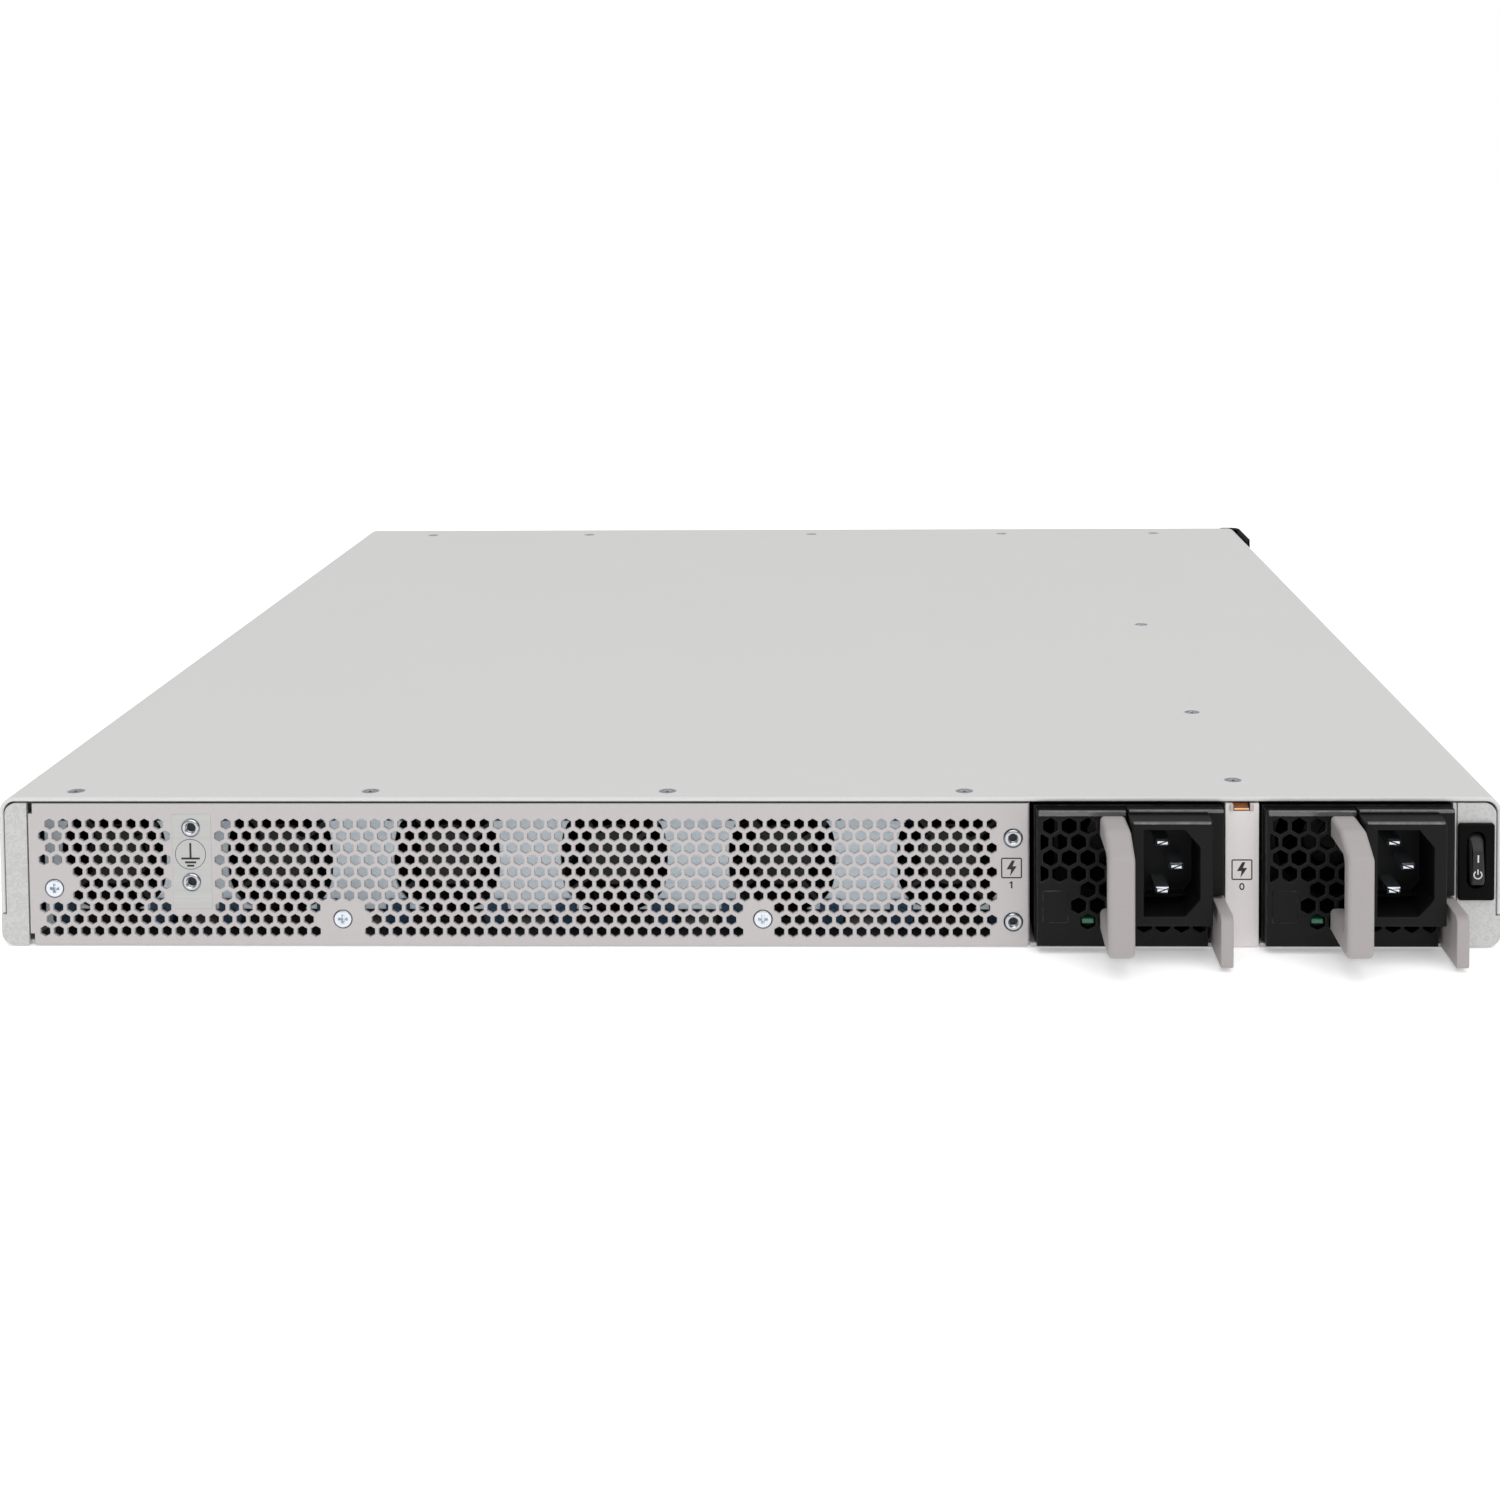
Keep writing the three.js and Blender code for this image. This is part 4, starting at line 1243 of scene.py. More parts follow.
            # A black disc a little way down each bore paints the shade inside it.
            bore_shade = MeshBuilder()
            near, far = 1.5 * MM, 2.4 * MM
            disc = [(0, near), (hole, near), (hole, far), (0.4 * MM, far), (0, far + 0.2 * MM)]
            bore_shade.lathe(disc, mouth, Axis.Y, 32)
            self.keep(bore_shade.make(f"{name}_bore"), Body.CHASSIS, Slot.BLACK, "ink_and_shade_black")

    def slot_signs(self) -> None:
        """A square with a bolt, and the number of the power slot below it."""
        low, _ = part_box("rear_panel")
        ink = (Axis.Y, low.y - 0.03 * MM, low.y + 0.02 * MM)
        half, line = 3.05 * MM, 0.36 * MM
        for x, z, digit in self.signs:
            cx, cz = x * MM, z * MM
            down = cz - self.sign_drop
            build = MeshBuilder()
            outer = rounded_rect(cx - half, cx + half, cz - half, cz + half, 0.5 * MM)
            build.slab(outer, [grown(outer, -line)], *ink)
            build.slab([(cx + u * MM, cz + v * MM) for u, v in self.bolt], [], *ink)
            if digit:
                build.slab([(cx + u * MM, down + v * MM) for u, v in self.figure_one], [], *ink)
            else:
                ring = circle(0, 0, 1.0, 28)
                outer = [(cx + u * 0.78 * MM, down + v * 1.05 * MM) for u, v in ring]
                inner = [(cx + u * 0.4 * MM, down + v * 0.66 * MM) for u, v in ring]
                build.slab(outer, [inner], *ink)
            self.keep(build.make(f"slot_sign_{digit}"), Body.CHASSIS, Slot.BLACK, "ink_and_shade_black")

    def post_top(self) -> None:
        """Two small folded tabs beside the copper finger on top of the post."""
        low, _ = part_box("bay_divider")
        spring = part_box("emi_spring")
        foot, head, wide, gap = 40.3 * MM, 42.3 * MM, 1.3 * MM, 0.25 * MM
        for name, x0, x1 in (
            ("left", spring[0].x - wide, spring[0].x - gap),
            ("right", spring[1].x + gap, spring[1].x + wide),
        ):
            build = MeshBuilder()
            outline = rounded_rect(x0, x1, foot, head, 0.3 * MM)
            build.slab(outline, [], Axis.Y, low.y - 0.5 * MM, low.y - 0.02 * MM, 0.2 * MM, 0.0)
            self.keep(build.make(f"post_tab_{name}"), Body.CHASSIS, Slot.PANEL)

    def corner_cap(self) -> None:
        """Black cap over the front corner, with soft edges and two shallow ribs."""
        low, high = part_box("corner_cap")
        outline = [
            (low.x, high.y - 5.6 * MM), (high.x - 1.9 * MM, high.y - 5.6 * MM), (high.x - 1.9 * MM, low.y),
            (high.x - 1.1 * MM, low.y), (high.x, low.y + 5 * MM), (high.x, high.y - 3.5 * MM),
            (high.x - 1.1 * MM, high.y - 1.1 * MM), (high.x - 3.5 * MM, high.y), (low.x, high.y),
        ]
        build = MeshBuilder()
        build.slab(outline, [], Axis.Z, low.z, high.z, 0.5 * MM, 0.5 * MM, steps=3)
        piece = build.make("corner_guard")
        self.keep(piece, Body.CHASSIS, Slot.BLACK, replaces=["corner_cap"])


# ---------------------------------------------------------------- fans


@dataclass
class Rotor:
    """A small axial rotor: a turned hub with curved, twisted blades."""

    centre: Vector
    front: float
    back: float
    tip: float
    hub: float
    blades: int = 7
    thick: float = 0.8 * MM
    hub_angle: float = 58.0
    tip_angle: float = 34.0
    sweep: float = 16.0
    across: int = 6
    along: int = 7

    def point(self, turn: float, s: float, t: float, side: float) -> Point3:
        """A point on a blade.

        Args:
            turn: where the blade's root stands, in degrees.
            s: share of the way from hub to tip.
            t: share of the way from the front edge to the back edge.
            side: -1 or 1, one face or the other.

        Returns:
            The point in the frame.
        """
        radius = self.hub * 0.96 + (self.tip - self.hub * 0.96) * s
        depth = self.back - self.front
        span = self.hub_angle + (self.tip_angle - self.hub_angle) * s
        camber = 6.0 * math.sin(math.pi * t)
        angle = math.radians(turn + self.sweep * s * s + span * (t - 0.5) + camber)
        thin = self.thick * (0.25 + 0.75 * math.sin(math.pi * min(0.98, max(0.02, t)))) / 2
        y = self.front + depth * (0.08 + 0.84 * t) + side * thin
        return (
            self.centre.x + radius * math.cos(angle),
            y,
            self.centre.z + radius * math.sin(angle),
        )

    def add_to(self, build: MeshBuilder) -> None:
        """Adds the hub and the blades."""
        depth = self.back - self.front
        soft = 0.9 * MM
        profile = [(0, 0.5 * MM), (self.hub * 0.42, 0.5 * MM), (self.hub * 0.46, 0.0)]
        profile += [(self.hub - soft, 0.0), (self.hub - soft * 0.3, soft * 0.3), (self.hub, soft)]
        profile += [(self.hub, depth - 0.4 * MM), (self.hub - 0.4 * MM, depth), (0, depth)]
        build.lathe(profile, (self.centre.x, self.front, self.centre.z), Axis.Y, 40)
        for i in range(self.blades):
            self.blade(build, 360 * i / self.blades)

    def blade(self, build: MeshBuilder, turn: float) -> None:
        """Adds one closed blade."""
        rings = []
        for s in range(self.across + 1):
            places = [t / self.along for t in range(self.along + 1)]
            loop = [self.point(turn, s / self.across, t, -1) for t in places]
            loop += [self.point(turn, s / self.across, t, 1) for t in reversed(places)]
            rings.append(build.ring(loop))
        for low, high in zip(rings, rings[1:]):
            build.bridge(low, high)
        build.cap(rings[0])
        build.cap(rings[-1])


@dataclass
class FanRow(Assembly):
    """The six chassis fans, their rubber corner mounts and the steel bulkhead."""

    count: int = 6
    mount_wide: Point2 = (11.3 * MM, 18.2 * MM)
    mount_high: Point2 = (12.0 * MM, 19.0 * MM)
    mount_thick: float = 2.2 * MM
    plate_radius: float = 8.6 * MM
    strut_turns: tuple[float, ...] = (38, 128, 218, 308)
    strut: tuple[Point2, ...] = ((8.0, -0.9), (18.5, -0.7), (18.5, 0.7), (8.0, 0.9))

    def build(self) -> None:
        """Builds rotors, mounts and struts."""
        # The bulkhead's finish glows: painted light on a steel part in shade.
        self.dress(["fan_bulkhead"], "bulkhead_steel_painted_glow")
        for i in range(self.count):
            low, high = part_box(f"fan{i}_rotor")
            frame_low, frame_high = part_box(f"fan{i}_frame")
            middle = (frame_low + frame_high) / 2
            build = MeshBuilder()
            Rotor(middle, low.y, high.y, tip=17.8 * MM, hub=9.5 * MM).add_to(build)
            piece = build.make(f"fan_{i}_impeller", smooth=40)
            self.keep(piece, f"fan{i}_impeller", Slot.FAN, replaces=[f"fan{i}_rotor"])
            self.mounts(i, middle)
            self.guard(i, middle, frame_low.y)

    def mounts(self, index: int, middle: Vector) -> None:
        """Soft blue mounts that hold the corners of one fan against the bulkhead.

        Args:
            index: number of the fan.
            middle: middle of its frame.
        """
        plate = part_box("fan_bulkhead")[0].y
        near = plate - self.mount_thick
        build = MeshBuilder()
        for sx in (-1, 1):
            for sz in (-1, 1):
                u = sorted(middle.x + sx * w for w in self.mount_wide)
                v = sorted(middle.z + sz * h for h in self.mount_high)
                outline = rounded_rect(*u, *v, 1.2 * MM, steps=3)
                build.slab(outline, [], Axis.Y, near, plate - 0.05 * MM, 0.5 * MM, 0.1 * MM)
                peg = circle((u[0] + u[1]) / 2, (v[0] + v[1]) / 2, 1.6 * MM, 16)
                build.slab(peg, [], Axis.Y, near - 1.2 * MM, near, 0.5 * MM, 0.0)
        self.keep(build.make(f"fan_{index}_mounts"), Body.CHASSIS, Slot.SOCKET, "blue_rubber")

    def guard(self, index: int, middle: Vector, front: float) -> None:
        """Four struts and the motor plate of one fan.

        Args:
            index: number of the fan.
            middle: middle of its frame.
            front: place of the frame's rear face along Y.
        """
        build = MeshBuilder()
        near, far = front + 0.3 * MM, front + 1.9 * MM
        build.slab(circle(middle.x, middle.z, self.plate_radius, 32), [], Axis.Y, near, far, 0.4 * MM, 0.0)
        for turn in self.strut_turns:
            c, s = math.cos(math.radians(turn)), math.sin(math.radians(turn))
            placed = [
                (middle.x + (u * c - v * s) * MM, middle.z + (u * s + v * c) * MM) for u, v in self.strut
            ]
            build.slab(placed, [], Axis.Y, near, far, 0.3 * MM, 0.0)
        self.keep(build.make(f"fan_{index}_struts"), Body.CHASSIS, Slot.FAN)


# ---------------------------------------------------------------- power supplies


@dataclass
class PowerSupply(Assembly):
    """One slide-out power supply. Places are measured from the middle of its bay and the rear plane."""

    index: int
    cell_flats: float = 4.3
    cell_pitch: float = 5.41
    cell_row: float = 4.67
    cell_start: Point2 = (-22.85, 37.2)
    cell_least: float = 0.22
    face: Span4 = (-26.85, -0.85, 1.9, 41.3)
    face_front: float = -4.9
    face_back: float = -3.7
    sill_right: float = 22.7
    sill_top: float = 10.8
    cell_foot: float = 5.6
    pad: Span4 = (-25.6, -17.7, 8.9, 18.6)
    lens: Point2 = (-12.03, 9.18)
    block: Span4 = (-0.55, 22.6, 11.1, 41.5)
    block_front: float = -14.2
    flange: Span4 = (-0.55, 27.25, 16.8, 41.9)
    flange_back: float = -0.2
    cavity: Span4 = (3.0, 18.9, 13.9, 38.9)
    cavity_cut: Point2 = (4.2, 5.0)
    cavity_floor: float = 2.8
    blades: tuple[Point2, ...] = ((8.95, 33.6), (8.95, 19.6), (12.95, 26.6))
    blade_tip: float = -8.7
    handle_side: Point2 = (-8.75, -1.15)
    handle_foot: float = 6.3
    latch_side: Point2 = (24.0, 27.6)
    latch_tab: tuple[Point2, ...] = (
        (-19.6, 1.6), (-18.9, 0.9), (-2.0, 0.9), (-1.2, 1.7), (23.8, 1.7), (23.8, 15.9), (10.0, 15.9),
        (-17.4, 15.9), (-19.6, 14.5),
    )
    middle: float = field(init=False)
    rear: float = field(init=False)
    body: str = field(init=False)

    def __post_init__(self) -> None:
        """Finds the bay."""
        low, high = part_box(f"psu{self.index}_case")
        self.middle = (low.x + high.x) / 2
        self.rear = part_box("rear_panel")[0].y
        self.body = f"power_supply_{self.index}"

    def at(self, x: float, z: float) -> Point2:
        """Places a point given in millimetres."""
        return (self.middle + x * MM, z * MM)

    def y(self, value: float) -> float:
        """Depth from the rear plane, given in millimetres."""
        return self.rear + value * MM

    def outline(self, points: Sequence[Point2]) -> list[Point2]:
        """Places an outline given in millimetres."""
        return [self.at(x, z) for x, z in points]

    def plate(
        self,
        build: MeshBuilder,
        points: Sequence[Point2],
        near: float,
        far: float,
        soft: float = 0.0,
        holes: Sequence[Sequence[Point2]] = (),
        steps: int = 2,
    ) -> None:
        """Adds a plate that faces the rear, in millimetres.

        Args:
            build: the builder to add to.
            points: its outline.
            near: depth of its rear face.
            far: depth of its front face.
            soft: radius of the edges of the rear face.
            holes: outline of each hole.
            steps: segments of each rounded edge.
        """
        placed = [self.outline(hole) for hole in holes]
        build.slab(self.outline(points), placed, Axis.Y, self.y(near), self.y(far), soft * MM, 0.0, steps)

    def put(
        self,
        build: MeshBuilder,
        name: str,
        slot: Slot,
        finish: str = "",
        replaces: Sequence[str] = (),
    ) -> None:
        """Makes a piece of this supply.

        Args:
            build: what it consists of.
            name: its name, without the supply's.
            slot: slot of the record that its finish belongs to.
            finish: name of the finish, the slot's own where empty.
            replaces: CAD nodes that it stands for, without the supply's name.
        """
        piece = build.make(f"supply_{self.index}_{name}")
        self.keep(piece, self.body, slot, finish, [f"psu{self.index}_{node}" for node in replaces])

    def build(self) -> None:
        """Builds every piece of the supply."""
        self.grille()
        self.status_lens()
        self.inlet()
        self.contacts()
        self.handle()
        self.latch()
        self.fan()

    def grille(self) -> None:
        """Honeycomb face with a sill that runs on below the inlet, and a folded lip along the top."""
        left, right, bottom, top = self.face
        end, sill = self.sill_right, self.sill_top
        x0, x1, z0, z1 = self.pad
        front, back = self.face_front, self.face_back
        full = [(left, bottom), (end, bottom), (end, sill), (right, sill), (right, top), (left, top)]
        pattern = (self.cell_pitch, self.cell_row, self.cell_flats, self.cell_least)
        area = (left + 1.1, right - 0.9, self.cell_foot, top - 1.4)
        cells = honeycomb(area, self.cell_start, *pattern)
        cells = [c for c in cells if not any(x < x1 + 0.7 and z < z1 + 0.5 for x, z in c)]
        under = (self.cell_start[0] + 4 * self.cell_pitch, self.cell_start[1] - 0.75)
        cells += honeycomb((0.4, end - 0.7, self.cell_foot, sill - 0.3), under, *pattern)
        build = MeshBuilder()
        self.plate(build, full, front, back, 0.22, cells)
        wall = [
            (left, bottom), (end, bottom), (end, bottom + 1), (left + 1, bottom + 1), (left + 1, top - 1),
            (right - 1, top - 1), (right - 1, sill), (right, sill), (right, top), (left, top),
        ]
        self.plate(build, wall, back, 0)
        label = rounded_rect(x0 + 0.5, x1 - 0.2, z0, z1 - 0.4, 0.5)
        self.plate(build, label, front - 0.25, front + 0.1, 0.15)
        self.put(build, "grille", Slot.PSU, replaces=["face"])
        self.lip("face_lip", (left + 0.5, right - 0.3, top - 1.0, top + 0.55), front - 0.8)

    def lip(self, name: str, extent: Span4, near: float) -> None:
        """A folded edge with a glossy corner, whose light edge colour is a painted highlight.

        Args:
            name: its name, without the supply's.
            extent: where it lies in X and Z.
            near: depth of its rear face.
        """
        build = MeshBuilder()
        self.plate(build, rounded_rect(*extent, 0.3), near, near + 1.1, 0.3)
        self.put(build, name, Slot.PSU, "lip_gloss_and_painted_highlight")

    def status_lens(self) -> None:
        """Green lens in one cell of the honeycomb, in a short black pipe."""
        x, z = self.lens
        root = -2.6
        lens = MeshBuilder()
        self.plate(lens, rounded_rect(x - 1.75, x + 1.75, z - 0.75, z + 0.75, 0.35), -4.3, root, 0.3)
        self.put(lens, "status_lens", Slot.PSU, "green_lens")
        pipe = MeshBuilder()
        self.plate(pipe, hexagon(x, z, 4.2), root, root + 0.8, 0.2)
        self.put(pipe, "lens_pipe", Slot.PSU)

    def cavity_points(self) -> list[Point2]:
        """The inlet's opening, with both corners at +X cut off."""
        x0, x1, z0, z1 = self.cavity
        u, v = self.cavity_cut
        return [(x0, z0), (x1 - u, z0), (x1, z0 + v), (x1, z1 - v), (x1 - u, z1), (x0, z1)]

    def inlet(self) -> None:
        """Mains inlet: a deep block with a stepped opening, and the flange plate behind it."""
        x0, x1, z0, z1 = self.block
        left, right, foot, head = self.flange
        seat, floor = self.flange_back, self.cavity_floor
        hole = self.cavity_points()
        build = MeshBuilder()
        face = [(x0, z0), (x1, z0), (x1, z1 - 0.4), (x0, z1 - 0.4)]
        self.plate(build, face, self.block_front, seat, 0.45, [hole], steps=3)
        self.plate(build, grown(hole, 1.2), seat, floor, holes=[hole])
        self.plate(build, hole, floor, floor + 1)
        flange = [(left, foot), (right, foot), (right, head), (left, head)]
        self.plate(build, flange, self.face_front, seat, 0.35, [grown(hole, 1.4)])
        self.put(build, "inlet", Slot.INLET, replaces=["inlet"])
        self.lip("inlet_back_lip", (x0 + 0.3, right - 0.25, head - 0.7, head + 0.15), self.face_front - 0.7)
        self.lip("inlet_front_lip", (x0 + 0.5, x1 - 0.5, z1 - 0.95, z1 - 0.3), self.block_front - 0.12)

    def contacts(self) -> None:
        """Three flat contact blades with tapered tips."""
        build = MeshBuilder()
        for x, z in self.blades:
            blade = rounded_rect(x - 2.0, x + 2.0, z - 1.0, z + 1.0, 0.15, steps=2)
            self.plate(build, blade, self.blade_tip, self.cavity_floor, 0.55, steps=1)
        self.put(build, "contacts", Slot.ZINC)

    def handle(self) -> None:
        """Bent pull handle with a chamfered shoulder and rounded edges."""
        foot, head, root, radius = self.handle_foot, 40.4, -5.2, 3.5
        outer = [(root, head), *self.shoulder((-18.2, head), (-29.2, 35.4))]
        outer += arc(-29.2 + radius, foot + radius, radius, 180, 270, 6)
        gap = [*arc(-21.4, 15.4, 2.2, 270, 180, 4), *arc(-21.4, 31.8, 2.2, 180, 90, 4)]
        side = [(root, foot + 0.4), (root, 13.2), *gap, (root, 34.0), *outer]
        profile = [(self.y(a), b * MM) for a, b in side]
        if shape_area(profile) < 0:
            profile.reverse()
        build = MeshBuilder()
        low, high = (self.middle + x * MM for x in self.handle_side)
        build.slab(profile, [], Axis.X, low, high, 1.5 * MM, 1.5 * MM, steps=5)
        self.put(build, "handle", Slot.HANDLE, replaces=["handle"])

    @staticmethod
    def shoulder(start: Point2, end: Point2) -> list[Point2]:
        """The chamfer of the handle's upper corner, each end eased.

        Args:
            start: where the chamfer leaves the arm.
            end: where it meets the grip.

        Returns:
            The points in order.
        """
        eased_start = ((1.2, 0.0), (-0.2, -0.08), (-1.4, -0.6))
        eased_end = ((1.3, 0.75), (0.35, 0.05), (0.0, -1.3))
        made = [(start[0] + u, start[1] + v) for u, v in eased_start]
        return made + [(end[0] + u, end[1] + v) for u, v in eased_end]

    def latch(self) -> None:
        """Release tab: a flat blade with bevelled edges on the end of a long spring arm."""
        profile = [(self.y(a), b * MM) for a, b in self.latch_tab]
        low, high = (self.middle + x * MM for x in self.latch_side)
        build = MeshBuilder()
        build.slab(profile, [], Axis.X, low, high, 0.4 * MM, 0.3 * MM, steps=3)
        piece = build.make(f"supply_{self.index}_latch")
        self.keep(piece, f"latch_{self.index}", Slot.HANDLE, replaces=[f"psu{self.index}_latch"])

    def fan(self) -> None:
        """The supply's own impeller, behind its honeycomb."""
        low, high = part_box(f"psu{self.index}_fan_rotor")
        frame_low, frame_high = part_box(f"psu{self.index}_fan_frame")
        middle = (frame_low + frame_high) / 2
        build = MeshBuilder()
        Rotor(middle, low.y, high.y, tip=16.8 * MM, hub=9.0 * MM).add_to(build)
        piece = build.make(f"supply_{self.index}_impeller", smooth=40)
        self.keep(piece, f"psu{self.index}_impeller", Slot.FAN, replaces=[f"psu{self.index}_fan_rotor"])


# ---------------------------------------------------------------- power rocker


@dataclass
class PowerRocker(Assembly):
    """The on/standby rocker in its bezel."""

    slot: Span4 = (209.8, 214.9, 17.9, 34.4)
    slot_radius: float = 2.3
    clear: float = 0.3
    half: float = 7.85
    sweep: float = 7.85
    pivot_depth: float = 1.2
    rounds: tuple[Point2, ...] = ((0.0, 0.85), (0.25, 0.3), (0.85, 0.0))
    back: float = 4.2
    middle: float = field(init=False)
    rear: float = field(init=False)

    def __post_init__(self) -> None:
        """Finds the rear plane and the middle of the slot."""
        self.middle = (self.slot[2] + self.slot[3]) / 2
        self.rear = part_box("rear_panel")[0].y

    def build(self) -> None:
        """Builds bezel, rocker and the two signs on it."""
        self.bezel()
        self.rocker()
        self.signs()

    def bezel(self) -> None:
        """Bezel with a round-ended slot, and the body behind the panel."""
        low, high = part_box("switch_housing")
        slot = rounded_rect(*(v * MM for v in self.slot), self.slot_radius * MM, steps=8)
        front, seat, floor = low.y, low.y + 1.1 * MM, low.y + 8.4 * MM
        build = MeshBuilder()
        rim = rounded_rect(low.x, high.x, low.z, high.z, 0.8 * MM)
        build.slab(rim, [slot], Axis.Y, front, seat, 0.45 * MM, 0.0, steps=3)
        left, right, drop = low.x + 1.0 * MM, high.x - 1.1 * MM, 1.2 * MM
        inner = rounded_rect(left, right, low.z + drop, high.z - drop, 0.5 * MM)
        build.slab(inner, [slot], Axis.Y, seat, floor)
        build.slab(inner, [], Axis.Y, floor, high.y)
        self.keep(build.make("rocker_bezel"), Body.CHASSIS, Slot.BLACK, replaces=["switch_housing"])

    def height(self, z: float) -> float:
        """Depth of the face at a height: proud at the foot, then a knee and a slope inwards.

        Args:
            z: the height in millimetres.

        Returns:
            The depth from the rear plane in millimetres.
        """
        t = (z - self.middle) / self.half
        knee = min(max((t - 0.3) / 0.7, 0.0), 1.0)
        return -3.1 - 0.15 * t + 3.7 * knee ** 1.4

    def held(self, x: float, y: float, z: float) -> Point3:
        """Places a point, kept inside the circle that the rocker sweeps.

        Args:
            x: place along X in millimetres.
            y: depth from the rear plane in millimetres.
            z: height in millimetres.

        Returns:
            The point in the frame.
        """
        reach = math.sqrt(self.sweep ** 2 - (y - self.pivot_depth) ** 2)
        kept = self.middle + min(max(z - self.middle, -reach), reach)
        return (x * MM, self.rear + y * MM, kept * MM)

    def rocker(self) -> None:
        """The rocker: a long pill with a curved face."""
        x0, x1, _, _ = self.slot
        low, high = self.middle - self.half, self.middle + self.half
        plan = rounded_rect(x0 + self.clear, x1 - self.clear, low, high, 2.2, steps=8)
        build = MeshBuilder()
        rings = []
        for down, inset in self.rounds:
            rim = grown(plan, -inset) if inset else plan
            rings.append(build.ring(self.held(x, self.height(z) + down, z) for x, z in rim))
        rings.append(build.ring(self.held(x, self.back, z) for x, z in grown(plan, -1.1)))
        for front, behind in zip(rings, rings[1:]):
            build.bridge(front, behind)
        build.cap(rings[-1])
        self.crown(build, grown(plan, -self.rounds[0][1]))
        piece = build.make("rocker_key", smooth=40)
        self.keep(piece, Body.ROCKER, Slot.BLACK, "rocker_black", ["power_rocker"])

    def crown(self, build: MeshBuilder, plan: Sequence[Point2]) -> None:
        """Adds the curved face in strips that follow its height.

        Args:
            build: the builder to add to.
            plan: edge of the face, in millimetres.
        """
        strips = 14
        steps = {self.middle + self.half * i / strips for i in range(1 - strips, strips)}
        last = None
        for z in sorted({round(z, 6) for _, z in plan} | steps):
            span = self.width_at(plan, z)
            if span is None:
                continue
            pair = build.ring(self.held(x, self.height(z), z) for x in span)
            if last is not None:
                build.faces.append((last[0], last[1], pair[1], pair[0]))
            last = pair

    @staticmethod
    def width_at(plan: Sequence[Point2], z: float) -> Point2 | None:
        """Finds how wide an outline is at a level.

        Args:
            plan: the outline.
            z: the level.

        Returns:
            Its lowest and highest x there, or None where it doesn't reach the level.
        """
        near = 1e-9
        found = []
        for i, (xb, zb) in enumerate(plan):
            xa, za = plan[i - 1]
            if min(za, zb) - near <= z <= max(za, zb) + near:
                level = abs(zb - za) < near
                found += [xa, xb] if level else [xa + (xb - xa) * (z - za) / (zb - za)]
        return (min(found), max(found)) if found else None

    def signs(self) -> None:
        """A bar above and a broken ring with a bar below, laid on the rocker's face."""
        cx = (self.slot[0] + self.slot[1]) / 2
        build = MeshBuilder()
        self.stroke(build, [(cx + 0.05, 28.2), (cx + 0.05, 27.1), (cx + 0.05, 26.0)], 0.46)
        self.stroke(build, arc(cx, 22.4, 1.15, 125, 415, 16), 0.38)
        self.stroke(build, [(cx, 24.0), (cx, 23.3), (cx, 22.5)], 0.38)
        self.keep(build.make("rocker_signs"), Body.ROCKER, Slot.BLACK, "ink_white")

    def stroke(self, build: MeshBuilder, points: Sequence[Point2], wide: float) -> None:
        """Adds a painted line on the face.

        Args:
            build: the builder to add to.
            points: the line's middle, in millimetres.
            wide: width of the line in millimetres.
        """
        thin = 0.03
        for (xa, za), (xb, zb) in zip(points, points[1:]):
            along = Vector((xb - xa, zb - za)).normalized() * wide / 2
            patch = [
                (xa - along.y, za + along.x), (xb - along.y, zb + along.x),
                (xb + along.y, zb - along.x), (xa + along.y, za - along.x),
            ]
            rings = [
                build.ring(self.held(x, self.height(z) + depth, z) for x, z in patch)
                for depth in (-thin, thin)
            ]
            build.bridge(rings[0], rings[1])
            build.cap(rings[0])
            build.cap(rings[1])


# ---------------------------------------------------------------- port side


